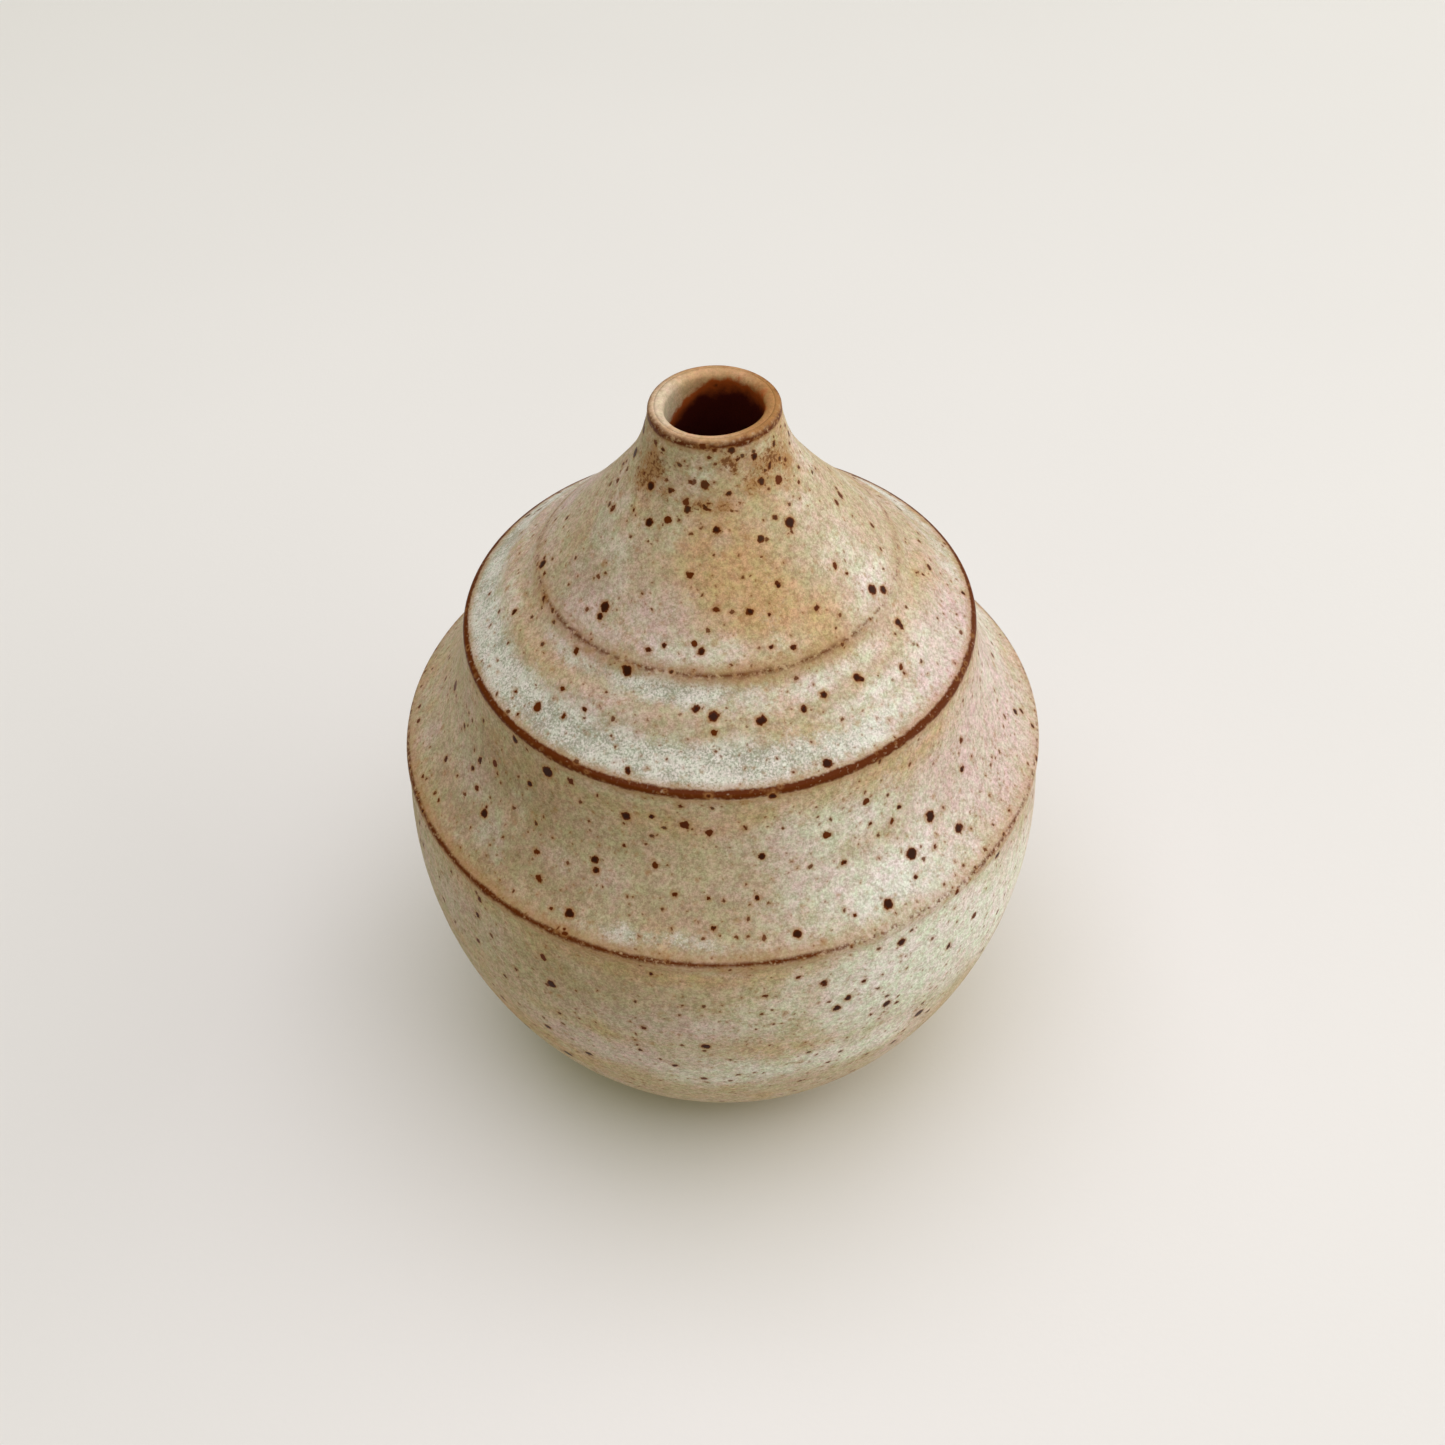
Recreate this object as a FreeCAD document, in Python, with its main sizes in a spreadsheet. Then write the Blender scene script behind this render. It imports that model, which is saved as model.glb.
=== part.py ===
import FreeCAD, Part
import math
import os
import Sketcher

# A wheel-thrown bud vase in millimetres, standing on Z = 0 with its axis on Z.
#
# The pot is one stoneware body with two coats of glaze on it. Every piece is a section in the XZ
# plane, turned once round Z. A section is a chain of arcs that run smoothly into each other, always
# with the clay on the left-hand side: up the outside from the foot, over the lip and down the inside
# to the middle of the floor. An arc is a bead where the clay bulges and a hollow where it dips. The
# glazed surface is the same chain with every bead larger and every hollow smaller by the coat.

SIZES = [
    # foot
    ("foot_radius", 29.4, "radius where the bowl's curve meets the bevel of the foot"),
    ("foot_height", 1.8, "height of that bevel"),
    ("foot_bevel", 1.0, "how far the bevel narrows down to the face that the vase stands on"),
    ("foot_ring_width", 5.2, "width of that face"),
    ("recess_depth", 2.2, "depth of the turned recess under the floor"),
    ("recess_slope", 0.8, "how much the recess narrows towards its roof"),
    # outside of the clay, from the bowl up
    ("belly_bulge", 0.6, "how far the bowl swells past the lower ridge"),
    ("belly_drop", 13.3, "how far the bowl's largest radius lies below the lower ridge"),
    ("under_ridge_round", 3.4, "hollow where the bowl turns out into the ridge"),
    ("ridge_radius", 47.9, "radius of the lower ridge"),
    ("ridge_height", 61.3, "height of the lower ridge"),
    ("ridge_bead", 0.9, "rounding of the lower ridge"),
    ("cove_round", 28.4, "hollow between the lower ridge and the ledge"),
    ("ledge_share", 0.764, "radius of the ledge as a share of the lower ridge's radius"),
    ("ledge_rise", 21.8, "height of the ledge above the lower ridge"),
    ("ledge_bead", 0.5, "rounding of the ledge"),
    ("shelf_round", 20.4, "hollow of the shelf inside the ledge"),
    ("low_step_in", 0.211, "share of the way in from the ledge to the lip where the soft lower step is"),
    ("low_step_up", 0.113, "share of the way up from the ledge to the lip where that step is"),
    ("low_step_bead", 3.0, "rounding of the lower step"),
    ("gutter_round", 8.4, "hollow between the two steps"),
    ("high_step_in", 0.394, "share of the way in from the ledge to the lip where the upper step is"),
    ("high_step_up", 0.268, "share of the way up from the ledge to the lip where that step is"),
    ("high_step_bead", 1.4, "rounding of the upper step"),
    ("cone_round", 110.4, "long hollow of the cone below the neck"),
    ("neck_round", 20.4, "hollow that turns the cone up into the lip"),
    ("neck_over", 1.6, "height above the lip at which that hollow would stand upright"),
    # lip and inside of the clay
    ("lip_radius", 8.45, "outer radius of the lip"),
    ("lip_rise", 35.5, "height of the lip's crest above the ledge"),
    ("lip_edge", 0.3, "rounding of the lip's outer edge"),
    ("lip_inner", 0.7, "rounding of the lip's inner edge"),
    ("lip_wall", 1.55, "clay between the lip's outside and the straight throat"),
    ("flare_round", 35.0, "sweep from the throat out into the shoulder of the hollow"),
    ("wall", 4.6, "clay of the bowl"),
    ("ledge_wall", 16.9, "clay behind the ledge, measured level"),
    ("corner_round", 14.0, "rounding between the hollow's wall and its floor"),
    ("floor_thickness", 4.8, "clay between the recess and the floor"),
    # glaze
    ("outer_coat", 0.4, "thickness of the outer glaze"),
    ("liner_coat", 0.4, "thickness of the liner glaze"),
    ("glaze_line", 5.5, "height at which the outer glaze stops above the bare foot"),
]

NO_COAT = "0"
OUTER_COAT = "Sizes.outer_coat"
LINER_COAT = "Sizes.liner_coat"

BELLY_RADIUS = "(Sizes.ridge_radius + Sizes.belly_bulge)"
BELLY_HEIGHT = "(Sizes.ridge_height - Sizes.belly_drop)"
BELLY_OVERHANG = f"({BELLY_RADIUS} - Sizes.foot_radius)"
BELLY_RISE = f"({BELLY_HEIGHT} - Sizes.foot_height)"
BOWL_ROUND = f"({BELLY_OVERHANG}^2 + {BELLY_RISE}^2) / (2 * {BELLY_OVERHANG})"
LEDGE_RADIUS = "(Sizes.ridge_radius * Sizes.ledge_share)"
LEDGE_HEIGHT = "(Sizes.ridge_height + Sizes.ledge_rise)"
LEDGE_TO_LIP = f"({LEDGE_RADIUS} - Sizes.lip_radius)"
LOW_STEP_RADIUS = f"({LEDGE_RADIUS} - Sizes.low_step_in * {LEDGE_TO_LIP})"
LOW_STEP_HEIGHT = f"({LEDGE_HEIGHT} + Sizes.low_step_up * Sizes.lip_rise)"
HIGH_STEP_RADIUS = f"({LEDGE_RADIUS} - Sizes.high_step_in * {LEDGE_TO_LIP})"
HIGH_STEP_HEIGHT = f"({LEDGE_HEIGHT} + Sizes.high_step_up * Sizes.lip_rise)"
LIP_HEIGHT = f"({LEDGE_HEIGHT} + Sizes.lip_rise)"
NECK_HEIGHT = f"({LIP_HEIGHT} + Sizes.neck_over)"
THROAT_RADIUS = "(Sizes.lip_radius - Sizes.lip_wall)"
CREST_OUTER = "(Sizes.lip_radius - Sizes.lip_edge)"
CREST_INNER = f"({THROAT_RADIUS} + Sizes.lip_inner)"
SEAM_RADIUS = f"({CREST_OUTER} + {CREST_INNER}) / 2"
HOLLOW_RADIUS = f"({BELLY_RADIUS} - Sizes.wall)"
HOLLOW_INSET = f"({HOLLOW_RADIUS} - {LEDGE_RADIUS} + Sizes.ledge_wall)"
HOLLOW_RISE = f"({LEDGE_HEIGHT} - {BELLY_HEIGHT})"
SHOULDER_ROUND = f"({HOLLOW_INSET}^2 + {HOLLOW_RISE}^2) / (2 * {HOLLOW_INSET})"
FLOOR_HEIGHT = "(Sizes.recess_depth + Sizes.floor_thickness)"
FOOT_FACE_RADIUS = "(Sizes.foot_radius - Sizes.foot_bevel)"
RECESS_RIM = f"({FOOT_FACE_RADIUS} - Sizes.foot_ring_width)"

START, END, CENTRE = 1, 2, 3
ORIGIN = (-1, 1)
LEVEL_AXIS, UPRIGHT_AXIS = -1, -2
FULL_TURN = 360.0
CUBIC_MM_PER_ML = 1000


def make_sheet(doc):
    """The driving sizes, one row each: name, value, meaning."""
    sheet = doc.addObject("Spreadsheet::Sheet", "Sizes")
    for row, (alias, size, meaning) in enumerate(SIZES, start=1):
        sheet.set(f"A{row}", alias)
        sheet.set(f"B{row}", str(size))
        sheet.set(f"C{row}", meaning)
        sheet.setAlias(f"B{row}", alias)
    return sheet


class Section:
    """A closed section of one piece, drawn in the piece's own XZ plane as radius and height."""

    def __init__(self, body, name):
        self.sketch = body.newObject("Sketcher::SketchObject", name)
        plane = next(f for f in body.Origin.OriginFeatures if f.Role == "XZ_Plane")
        self.sketch.AttachmentSupport = [(plane, "")]
        self.sketch.MapMode = "FlatFace"

    def value(self, formula):
        return float(self.sketch.evalExpression(formula))

    def point(self, radius, height):
        return FreeCAD.Vector(self.value(radius), self.value(height), 0)

    def tie(self, kind, *places_and_formula):
        """Adds a dimension whose size comes from a formula on the sheet."""
        *places, formula = places_and_formula
        number = self.sketch.addConstraint(Sketcher.Constraint(kind, *places, self.value(formula)))
        name = f"size_{number}"
        self.sketch.renameConstraint(number, name)
        self.sketch.setExpression(f"Constraints.{name}", formula)

    def relate(self, kind, *places):
        self.sketch.addConstraint(Sketcher.Constraint(kind, *places))

    def place(self, corner, radius=None, height=None):
        """Ties a point's distance from the axis, its height, or both."""
        if radius is not None:
            self.tie("DistanceX", *ORIGIN, *corner, radius)
        if height is not None:
            self.tie("DistanceY", *ORIGIN, *corner, height)

    def line(self, start, end, direction=None):
        number = self.sketch.addGeometry(Part.LineSegment(start, end), False)
        if direction is not None:
            self.relate(direction, number)
        return (number, START), (number, END)

    def pin_widest(self, arc_number, radius, height):
        """Ties the point where an arc stands upright, with a construction point on it."""
        number = self.sketch.addGeometry(Part.Point(self.point(radius, height)), True)
        self.relate("PointOnObject", number, START, arc_number)
        self.place((number, START), radius, height)

    def join(self, first, second):
        self.relate("Coincident", *first, *second)


class Arc:
    """One arc of a chain. A bead turns left along the chain and a hollow turns right."""

    def __init__(self, radius, bead, centre=None, centre_formulas=(None, None)):
        self.radius_formula = radius
        self.bead = bead
        self.centre = centre
        self.centre_formulas = centre_formulas


def bead(section, radius, height, round_alias, coat):
    """A bead that reaches the given radius at the given height."""
    middle = f"{radius} - Sizes.{round_alias}"
    return Arc(f"Sizes.{round_alias} + {coat}", True, section.point(middle, height), (middle, height))


def hollow(round_alias, coat):
    """A hollow whose place follows from the two arcs that it runs into."""
    return Arc(f"Sizes.{round_alias} - {coat}", False)


def meeting_centre(first, first_gap, second, second_gap):
    """The point at the two gaps from two centres, on the right-hand side of the way between them."""
    way = second.sub(first)
    along = (first_gap**2 - second_gap**2 + way.Length**2) / (2 * way.Length)
    aside = math.sqrt(first_gap**2 - along**2)
    step = FreeCAD.Vector(way).normalize()
    return first + step * along + FreeCAD.Vector(step.y, -step.x, 0) * aside


def draw_chain(section, arcs, first_point, last_point):
    """Draws arcs that touch each other in order, and ties each one's radius and tangencies."""
    signed = []
    for arc in arcs:
        radius = section.value(arc.radius_formula)
        signed.append(radius if arc.bead else -radius)
    for i, arc in enumerate(arcs):
        if arc.centre is None:
            gaps = (abs(signed[i - 1] - signed[i]), abs(signed[i + 1] - signed[i]))
            arc.centre = meeting_centre(arcs[i - 1].centre, gaps[0], arcs[i + 1].centre, gaps[1])
    touches = [first_point]
    for i in range(len(arcs) - 1):
        share = signed[i] / (signed[i] - signed[i + 1])
        touches.append(arcs[i].centre + (arcs[i + 1].centre - arcs[i].centre) * share)
    touches.append(last_point)

    heads = []
    tails = []
    for i, arc in enumerate(arcs):
        head, tail = ((0, START), (1, END)) if arc.bead else ((0, END), (1, START))
        from_point, to_point = (touches[i], touches[i + 1]) if arc.bead else (touches[i + 1], touches[i])
        start_angle, end_angle = (
            math.atan2(p.y - arc.centre.y, p.x - arc.centre.x) for p in (from_point, to_point)
        )
        end_angle += 2 * math.pi * (end_angle < start_angle)
        if end_angle - start_angle > math.pi:
            raise RuntimeError(f"arc {i} of {section.sketch.Name} has no room between its neighbours")
        circle = Part.Circle(arc.centre, FreeCAD.Vector(0, 0, 1), abs(signed[i]))
        number = section.sketch.addGeometry(Part.ArcOfCircle(circle, start_angle, end_angle), False)
        heads.append((number, head[1]))
        tails.append((number, tail[1]))
    for tail, head in zip(tails, heads[1:]):
        section.relate("Tangent", *tail, *head)
    for (number, _), arc in zip(heads, arcs):
        section.tie("Radius", number, arc.radius_formula)
        section.place((number, CENTRE), *arc.centre_formulas)
    return heads, tails


def draw_outside(section, coat, start_height):
    """From start_height on the bowl, up over the ridge, the ledge, the steps and the neck to the
    outer edge of the lip's crest. Returns the first and the last point of the chain."""
    bowl_centre = section.point(f"{BELLY_RADIUS} - {BOWL_ROUND}", BELLY_HEIGHT)
    bowl_radius = f"{BOWL_ROUND} + {coat}"
    lip = bead(section, "Sizes.lip_radius", f"{LIP_HEIGHT} - Sizes.lip_edge", "lip_edge", coat)
    neck_rise = section.value(NECK_HEIGHT) - lip.centre.y
    neck_reach = math.sqrt(section.value("Sizes.neck_round + Sizes.lip_edge") ** 2 - neck_rise**2)
    neck_centre = lip.centre + FreeCAD.Vector(neck_reach, neck_rise, 0)
    arcs = [
        Arc(bowl_radius, True, bowl_centre, (None, BELLY_HEIGHT)),
        hollow("under_ridge_round", coat),
        bead(section, "Sizes.ridge_radius", "Sizes.ridge_height", "ridge_bead", coat),
        hollow("cove_round", coat),
        bead(section, LEDGE_RADIUS, LEDGE_HEIGHT, "ledge_bead", coat),
        hollow("shelf_round", coat),
        bead(section, LOW_STEP_RADIUS, LOW_STEP_HEIGHT, "low_step_bead", coat),
        hollow("gutter_round", coat),
        bead(section, HIGH_STEP_RADIUS, HIGH_STEP_HEIGHT, "high_step_bead", coat),
        hollow("cone_round", coat),
        Arc(f"Sizes.neck_round - {coat}", False, neck_centre, (None, NECK_HEIGHT)),
        lip,
    ]
    drop = section.value(start_height) - bowl_centre.y
    reach = math.sqrt(section.value(bowl_radius) ** 2 - drop**2)
    crest = section.point(CREST_OUTER, f"{LIP_HEIGHT} + {coat}")
    heads, tails = draw_chain(section, arcs, bowl_centre + FreeCAD.Vector(reach, drop, 0), crest)
    section.pin_widest(heads[0][0], f"{BELLY_RADIUS} + {coat}", BELLY_HEIGHT)
    section.place(heads[0], height=start_height)
    return heads[0], tails[-1]


def draw_inside(section, coat):
    """From the inner edge of the lip's crest, down the throat and the hollow's wall to the middle
    of its floor. Returns the first and the last point of the chain."""
    throat_radius = f"{THROAT_RADIUS} - {coat}"
    floor_height = f"{FLOOR_HEIGHT} + {coat}"
    lip_centre = (CREST_INNER, f"{LIP_HEIGHT} - Sizes.lip_inner")
    lip = Arc(f"Sizes.lip_inner + {coat}", True, section.point(*lip_centre), lip_centre)
    crest = section.point(CREST_INNER, f"{LIP_HEIGHT} + {coat}")
    throat_top = section.point(throat_radius, lip_centre[1])
    lip_heads, lip_tails = draw_chain(section, [lip], crest, throat_top)

    shoulder_centre = section.point(f"{HOLLOW_RADIUS} - {SHOULDER_ROUND}", BELLY_HEIGHT)
    wall_centre = section.point(f"{BELLY_RADIUS} - {BOWL_ROUND}", BELLY_HEIGHT)
    flare_x = section.value(f"{THROAT_RADIUS} + Sizes.flare_round")
    flare_gap = section.value(f"{SHOULDER_ROUND} + Sizes.flare_round")
    flare_rise = math.sqrt(flare_gap**2 - (flare_x - shoulder_centre.x) ** 2)
    flare_centre = FreeCAD.Vector(flare_x, shoulder_centre.y + flare_rise, 0)
    corner_y = section.value(f"{FLOOR_HEIGHT} + Sizes.corner_round")
    corner_gap = section.value(f"{BOWL_ROUND} - Sizes.wall - Sizes.corner_round")
    corner_reach = math.sqrt(corner_gap**2 - (corner_y - wall_centre.y) ** 2)
    corner_centre = FreeCAD.Vector(wall_centre.x + corner_reach, corner_y, 0)
    upper_arcs = [
        Arc(f"Sizes.flare_round + {coat}", True, flare_centre),
        Arc(f"{SHOULDER_ROUND} - {coat}", False, shoulder_centre, (None, BELLY_HEIGHT)),
    ]
    lower_arcs = [
        Arc(f"{BOWL_ROUND} - Sizes.wall - {coat}", False, wall_centre, (None, BELLY_HEIGHT)),
        Arc(f"Sizes.corner_round - {coat}", False, corner_centre),
    ]
    widest_radius = f"{HOLLOW_RADIUS} - {coat}"
    widest = section.point(widest_radius, BELLY_HEIGHT)
    throat_foot = FreeCAD.Vector(throat_top.x, flare_centre.y, 0)
    floor_edge = FreeCAD.Vector(corner_centre.x, section.value(floor_height), 0)
    upper_heads, upper_tails = draw_chain(section, upper_arcs, throat_foot, widest)
    lower_heads, lower_tails = draw_chain(section, lower_arcs, widest, floor_edge)
    section.join(upper_tails[-1], lower_heads[0])
    section.place(lower_heads[0], widest_radius, BELLY_HEIGHT)

    throat_start, throat_end = section.line(throat_top, throat_foot, "Vertical")
    section.relate("Tangent", *lip_tails[0], *throat_start)
    section.relate("Tangent", *throat_end, *upper_heads[0])
    floor_start, floor_end = section.line(floor_edge, section.point("0", floor_height), "Horizontal")
    section.relate("Tangent", *lower_tails[-1], *floor_start)
    section.place(floor_end, height=floor_height)
    section.relate("PointOnObject", *floor_end, UPRIGHT_AXIS)
    return lip_heads[0], floor_end


def draw_seam(section, crest_end, coat):
    """Carries a coat along the lip's crest, level, to the seam where the two glazes meet."""
    seam = section.point(SEAM_RADIUS, f"{LIP_HEIGHT} + {coat}")
    start, end = section.line(section.sketch.getPoint(*crest_end), seam, "Horizontal")
    section.relate("Tangent", *crest_end, *start)
    section.place(end, radius=SEAM_RADIUS)
    return end


def turn(body, section):
    """Turns the section once round the vertical axis."""
    revolution = body.newObject("PartDesign::Revolution", f"{body.Name}_turned")
    revolution.Profile = section.sketch
    revolution.ReferenceAxis = (section.sketch, ["V_Axis"])
    revolution.Angle = FULL_TURN
    body.Tip = revolution


def new_body(doc, label):
    body = doc.addObject("PartDesign::Body", label)
    body.Label = label
    body.Placement = FreeCAD.Placement()
    return body


def make_clay_body(doc):
    """The thrown and turned stoneware pot: solid wall, floor, and a bare foot ring with a recess."""
    body = new_body(doc, "clay_body")
    section = Section(body, "clay_section")
    bowl_start, outer_crest = draw_outside(section, NO_COAT, "Sizes.foot_height")
    inner_crest, floor_middle = draw_inside(section, NO_COAT)
    crest_ends = [section.sketch.getPoint(*corner) for corner in (outer_crest, inner_crest)]
    crest_start, crest_end = section.line(*crest_ends)
    section.relate("Tangent", *outer_crest, *crest_start)
    section.relate("Tangent", *crest_end, *inner_crest)
    draw_foot(section, floor_middle, bowl_start)
    turn(body, section)
    return body


def draw_foot(section, floor_middle, bowl_start):
    """Down the axis, out along the roof of the recess, over the foot ring and up its bevel."""
    corners = [
        section.sketch.getPoint(*floor_middle),
        section.point("0", "Sizes.recess_depth"),
        section.point(f"{RECESS_RIM} - Sizes.recess_slope", "Sizes.recess_depth"),
        section.point(RECESS_RIM, "0"),
        section.point(FOOT_FACE_RADIUS, "0"),
        section.sketch.getPoint(*bowl_start),
    ]
    ends = [floor_middle]
    for start, end in zip(corners, corners[1:]):
        head, tail = section.line(start, end)
        section.join(ends[-1], head)
        ends.append(tail)
    _, axis_foot, roof_rim, ring_inner, ring_outer, bevel_top = ends
    section.join(bevel_top, bowl_start)
    section.relate("PointOnObject", *axis_foot, UPRIGHT_AXIS)
    section.place(axis_foot, height="Sizes.recess_depth")
    section.place(roof_rim, f"{RECESS_RIM} - Sizes.recess_slope", "Sizes.recess_depth")
    section.relate("PointOnObject", *ring_inner, LEVEL_AXIS)
    section.place(ring_inner, radius=RECESS_RIM)
    section.relate("PointOnObject", *ring_outer, LEVEL_AXIS)
    section.place(ring_outer, radius=FOOT_FACE_RADIUS)


def make_outer_glaze(doc):
    """The coat on the outside, from above the bare foot to the middle of the lip's crest."""
    body = new_body(doc, "outer_glaze")
    section = Section(body, "outer_glaze_section")
    close_coat(section, [
        end_at_seam(section, coat, *draw_outside(section, coat, "Sizes.glaze_line"))
        for coat in (NO_COAT, OUTER_COAT)
    ])
    turn(body, section)
    return body


def make_liner_glaze(doc):
    """The coat poured inside, from the middle of the lip's crest down to the floor."""
    body = new_body(doc, "liner_glaze")
    section = Section(body, "liner_glaze_section")
    close_coat(section, [
        end_at_seam(section, coat, *reversed(draw_inside(section, coat)))
        for coat in (NO_COAT, LINER_COAT)
    ])
    turn(body, section)
    return body


def end_at_seam(section, coat, far_end, crest_end):
    """A chain's two ends, once it has been carried from the lip's crest to the seam."""
    return far_end, draw_seam(section, crest_end, coat)


def close_coat(section, clay_and_surface):
    """Closes a coat with a straight edge from the clay to the glazed surface at both ends."""
    for clay_corner, surface_corner in zip(*clay_and_surface):
        ends = [section.sketch.getPoint(*corner) for corner in (clay_corner, surface_corner)]
        edge_start, edge_end = section.line(*ends)
        section.join(clay_corner, edge_start)
        section.join(surface_corner, edge_end)


def check(doc, pieces):
    """Stops if any object failed to build, a section is loose, or a piece is not one sound solid."""
    for thing in doc.Objects:
        if "Invalid" in thing.State or "Error" in thing.State:
            raise RuntimeError(f"{thing.Name} failed to build: {thing.State}")
        if thing.TypeId == "Sketcher::SketchObject" and not thing.FullyConstrained:
            raise RuntimeError(f"{thing.Name} is not fully constrained")
    for piece in pieces:
        if piece.Shape.isNull() or not piece.Shape.isValid() or len(piece.Shape.Solids) != 1:
            raise RuntimeError(f"{piece.Label} is not one valid solid")


def main():
    doc = FreeCAD.newDocument("bud_vase")
    make_sheet(doc)
    doc.recompute()
    pieces = [make_clay_body(doc), make_outer_glaze(doc), make_liner_glaze(doc)]
    doc.recompute()
    check(doc, pieces)
    os.makedirs("parts", exist_ok=True)
    for piece in pieces:
        piece.Shape.exportStep(f"parts/{piece.Label}.step")
        print(f"{piece.Label}: {piece.Shape.Volume / CUBIC_MM_PER_ML:.2f} ml")


main()
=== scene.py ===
import math

import bpy
import numpy as np
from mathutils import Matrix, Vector


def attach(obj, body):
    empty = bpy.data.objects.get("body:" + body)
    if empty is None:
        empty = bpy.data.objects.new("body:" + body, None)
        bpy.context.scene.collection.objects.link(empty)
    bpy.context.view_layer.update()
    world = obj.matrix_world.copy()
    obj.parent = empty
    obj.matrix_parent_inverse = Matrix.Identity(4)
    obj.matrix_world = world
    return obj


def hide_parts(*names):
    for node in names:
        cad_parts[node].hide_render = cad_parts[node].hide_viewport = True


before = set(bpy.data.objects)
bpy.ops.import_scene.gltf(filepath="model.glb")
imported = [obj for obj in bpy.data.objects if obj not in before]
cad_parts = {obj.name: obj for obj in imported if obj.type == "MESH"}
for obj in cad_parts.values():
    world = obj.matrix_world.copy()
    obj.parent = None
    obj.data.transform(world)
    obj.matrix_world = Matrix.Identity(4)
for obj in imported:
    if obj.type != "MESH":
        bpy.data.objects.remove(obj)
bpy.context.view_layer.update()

# A wheel-thrown stoneware bud vase: a bare clay pot, a speckled matte glaze outside and a
# red-brown liner glaze inside, standing on a pale floor. Lengths are metres and Z is up.
# Directions round the pot are angles from the front, which faces -Y, growing towards +X.

bl_info = {
    "name": "Speckled Bud Vase",
    "version": (1, 0, 0),
    "blender": (4, 5, 0),
    "location": "3D View > Sidebar > Bud Vase",
    "description": "Throws, glazes and stages a small stoneware bud vase",
    "category": "Add Mesh",
}

MM = 0.001
FULL_TURN = math.tau


# ---------------------------------------------------------------- sizes and colours


def length(name, description, millimetres):
    """A length, given in millimetres and kept in metres."""
    return bpy.props.FloatProperty(
        name=name, description=description, default=millimetres * MM, unit="LENGTH", precision=5
    )


def share(name, description, default):
    return bpy.props.FloatProperty(name=name, description=description, default=default, min=0.0)


def colour(name, description, default):
    return bpy.props.FloatVectorProperty(
        name=name, description=description, default=default, size=3, subtype="COLOR", min=0.0, max=1.0
    )


def watts(name, description, default):
    return bpy.props.FloatProperty(name=name, description=description, default=default, unit="POWER")


class VaseShape(bpy.types.PropertyGroup):
    """Sizes of the thrown clay and of the glaze on it."""

    foot_radius: length("Foot radius", "Where the bowl meets the bevel of the foot", 29.4)
    foot_height: length("Foot height", "Height of the foot's bevel", 1.8)
    foot_bevel: length("Foot bevel", "How far the bevel narrows down to the face", 1.0)
    foot_ring_width: length("Foot ring width", "Width of the face that the vase stands on", 5.2)
    recess_depth: length("Recess depth", "Depth of the turned recess under the floor", 2.2)
    recess_slope: length("Recess slope", "How much the recess narrows towards its roof", 0.8)
    foot_rounding: length("Foot rounding", "Softening of the turned edges", 0.35)
    belly_bulge: length("Belly bulge", "How far the bowl swells past the lower ridge", 0.6)
    belly_drop: length("Belly drop", "The bowl's widest place below the lower ridge", 13.3)
    under_ridge_round: length("Under ridge round", "Hollow that turns the bowl out to the ridge", 3.4)
    ridge_radius: length("Ridge radius", "Radius of the lower ridge", 47.9)
    ridge_height: length("Ridge height", "Height of the lower ridge", 61.3)
    ridge_bead: length("Ridge bead", "Rounding of the lower ridge", 0.9)
    cove_round: length("Cove round", "Hollow between the lower ridge and the ledge", 28.4)
    ledge_share: share("Ledge share", "Ledge radius as a share of the ridge radius", 0.764)
    ledge_rise: length("Ledge rise", "Height of the ledge above the lower ridge", 21.8)
    ledge_bead: length("Ledge bead", "Rounding of the ledge", 0.5)
    shelf_round: length("Shelf round", "Hollow of the shelf inside the ledge", 20.4)
    low_step_in: share("Low step in", "Share of the way in from ledge to lip of the soft step", 0.211)
    low_step_up: share("Low step up", "Share of the way up from ledge to lip of the soft step", 0.113)
    low_step_bead: length("Low step bead", "Rounding of the soft step", 3.0)
    gutter_round: length("Gutter round", "Hollow between the two steps", 8.4)
    high_step_in: share("High step in", "Share of the way in from ledge to lip of the upper step", 0.394)
    high_step_up: share("High step up", "Share of the way up from ledge to lip of the upper step", 0.268)
    high_step_bead: length("High step bead", "Rounding of the upper step", 1.4)
    cone_round: length("Cone round", "Long hollow of the cone below the neck", 110.4)
    neck_round: length("Neck round", "Hollow that turns the cone up into the lip", 20.4)
    neck_over: length("Neck over", "Height above the lip where that hollow would stand upright", 1.6)
    lip_radius: length("Lip radius", "Outer radius of the lip", 8.45)
    lip_rise: length("Lip rise", "Height of the lip above the ledge", 35.5)
    lip_edge: length("Lip edge", "Rounding of the lip's outer edge", 0.3)
    lip_inner: length("Lip inner edge", "Rounding of the lip's inner edge", 0.7)
    lip_wall: length("Lip wall", "Clay between the lip's outside and the throat", 1.55)
    flare_round: length("Flare round", "Sweep from the throat out into the hollow", 35.0)
    wall: length("Wall", "Clay of the bowl", 4.6)
    ledge_wall: length("Ledge wall", "Clay behind the ledge, measured level", 16.9)
    corner_round: length("Corner round", "Rounding between the hollow's wall and floor", 14.0)
    floor_thickness: length("Floor thickness", "Clay between the recess and the floor", 4.8)
    coat: length("Glaze coat", "Thickness of the glaze", 0.4)
    glaze_line: length("Glaze line", "Height where the outer glaze stops above the foot", 5.5)
    wander: length("Glaze line wander", "How far the glaze line strays up and down", 0.5)
    throwing_rings: length("Throwing rings", "Depth of the finger rings on the wall", 0.05)
    lean: length("Lean", "How far the neck has drifted off the wheel's axis", 0.25)
    oval: length("Oval", "How far the lip is out of round", 0.1)


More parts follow.
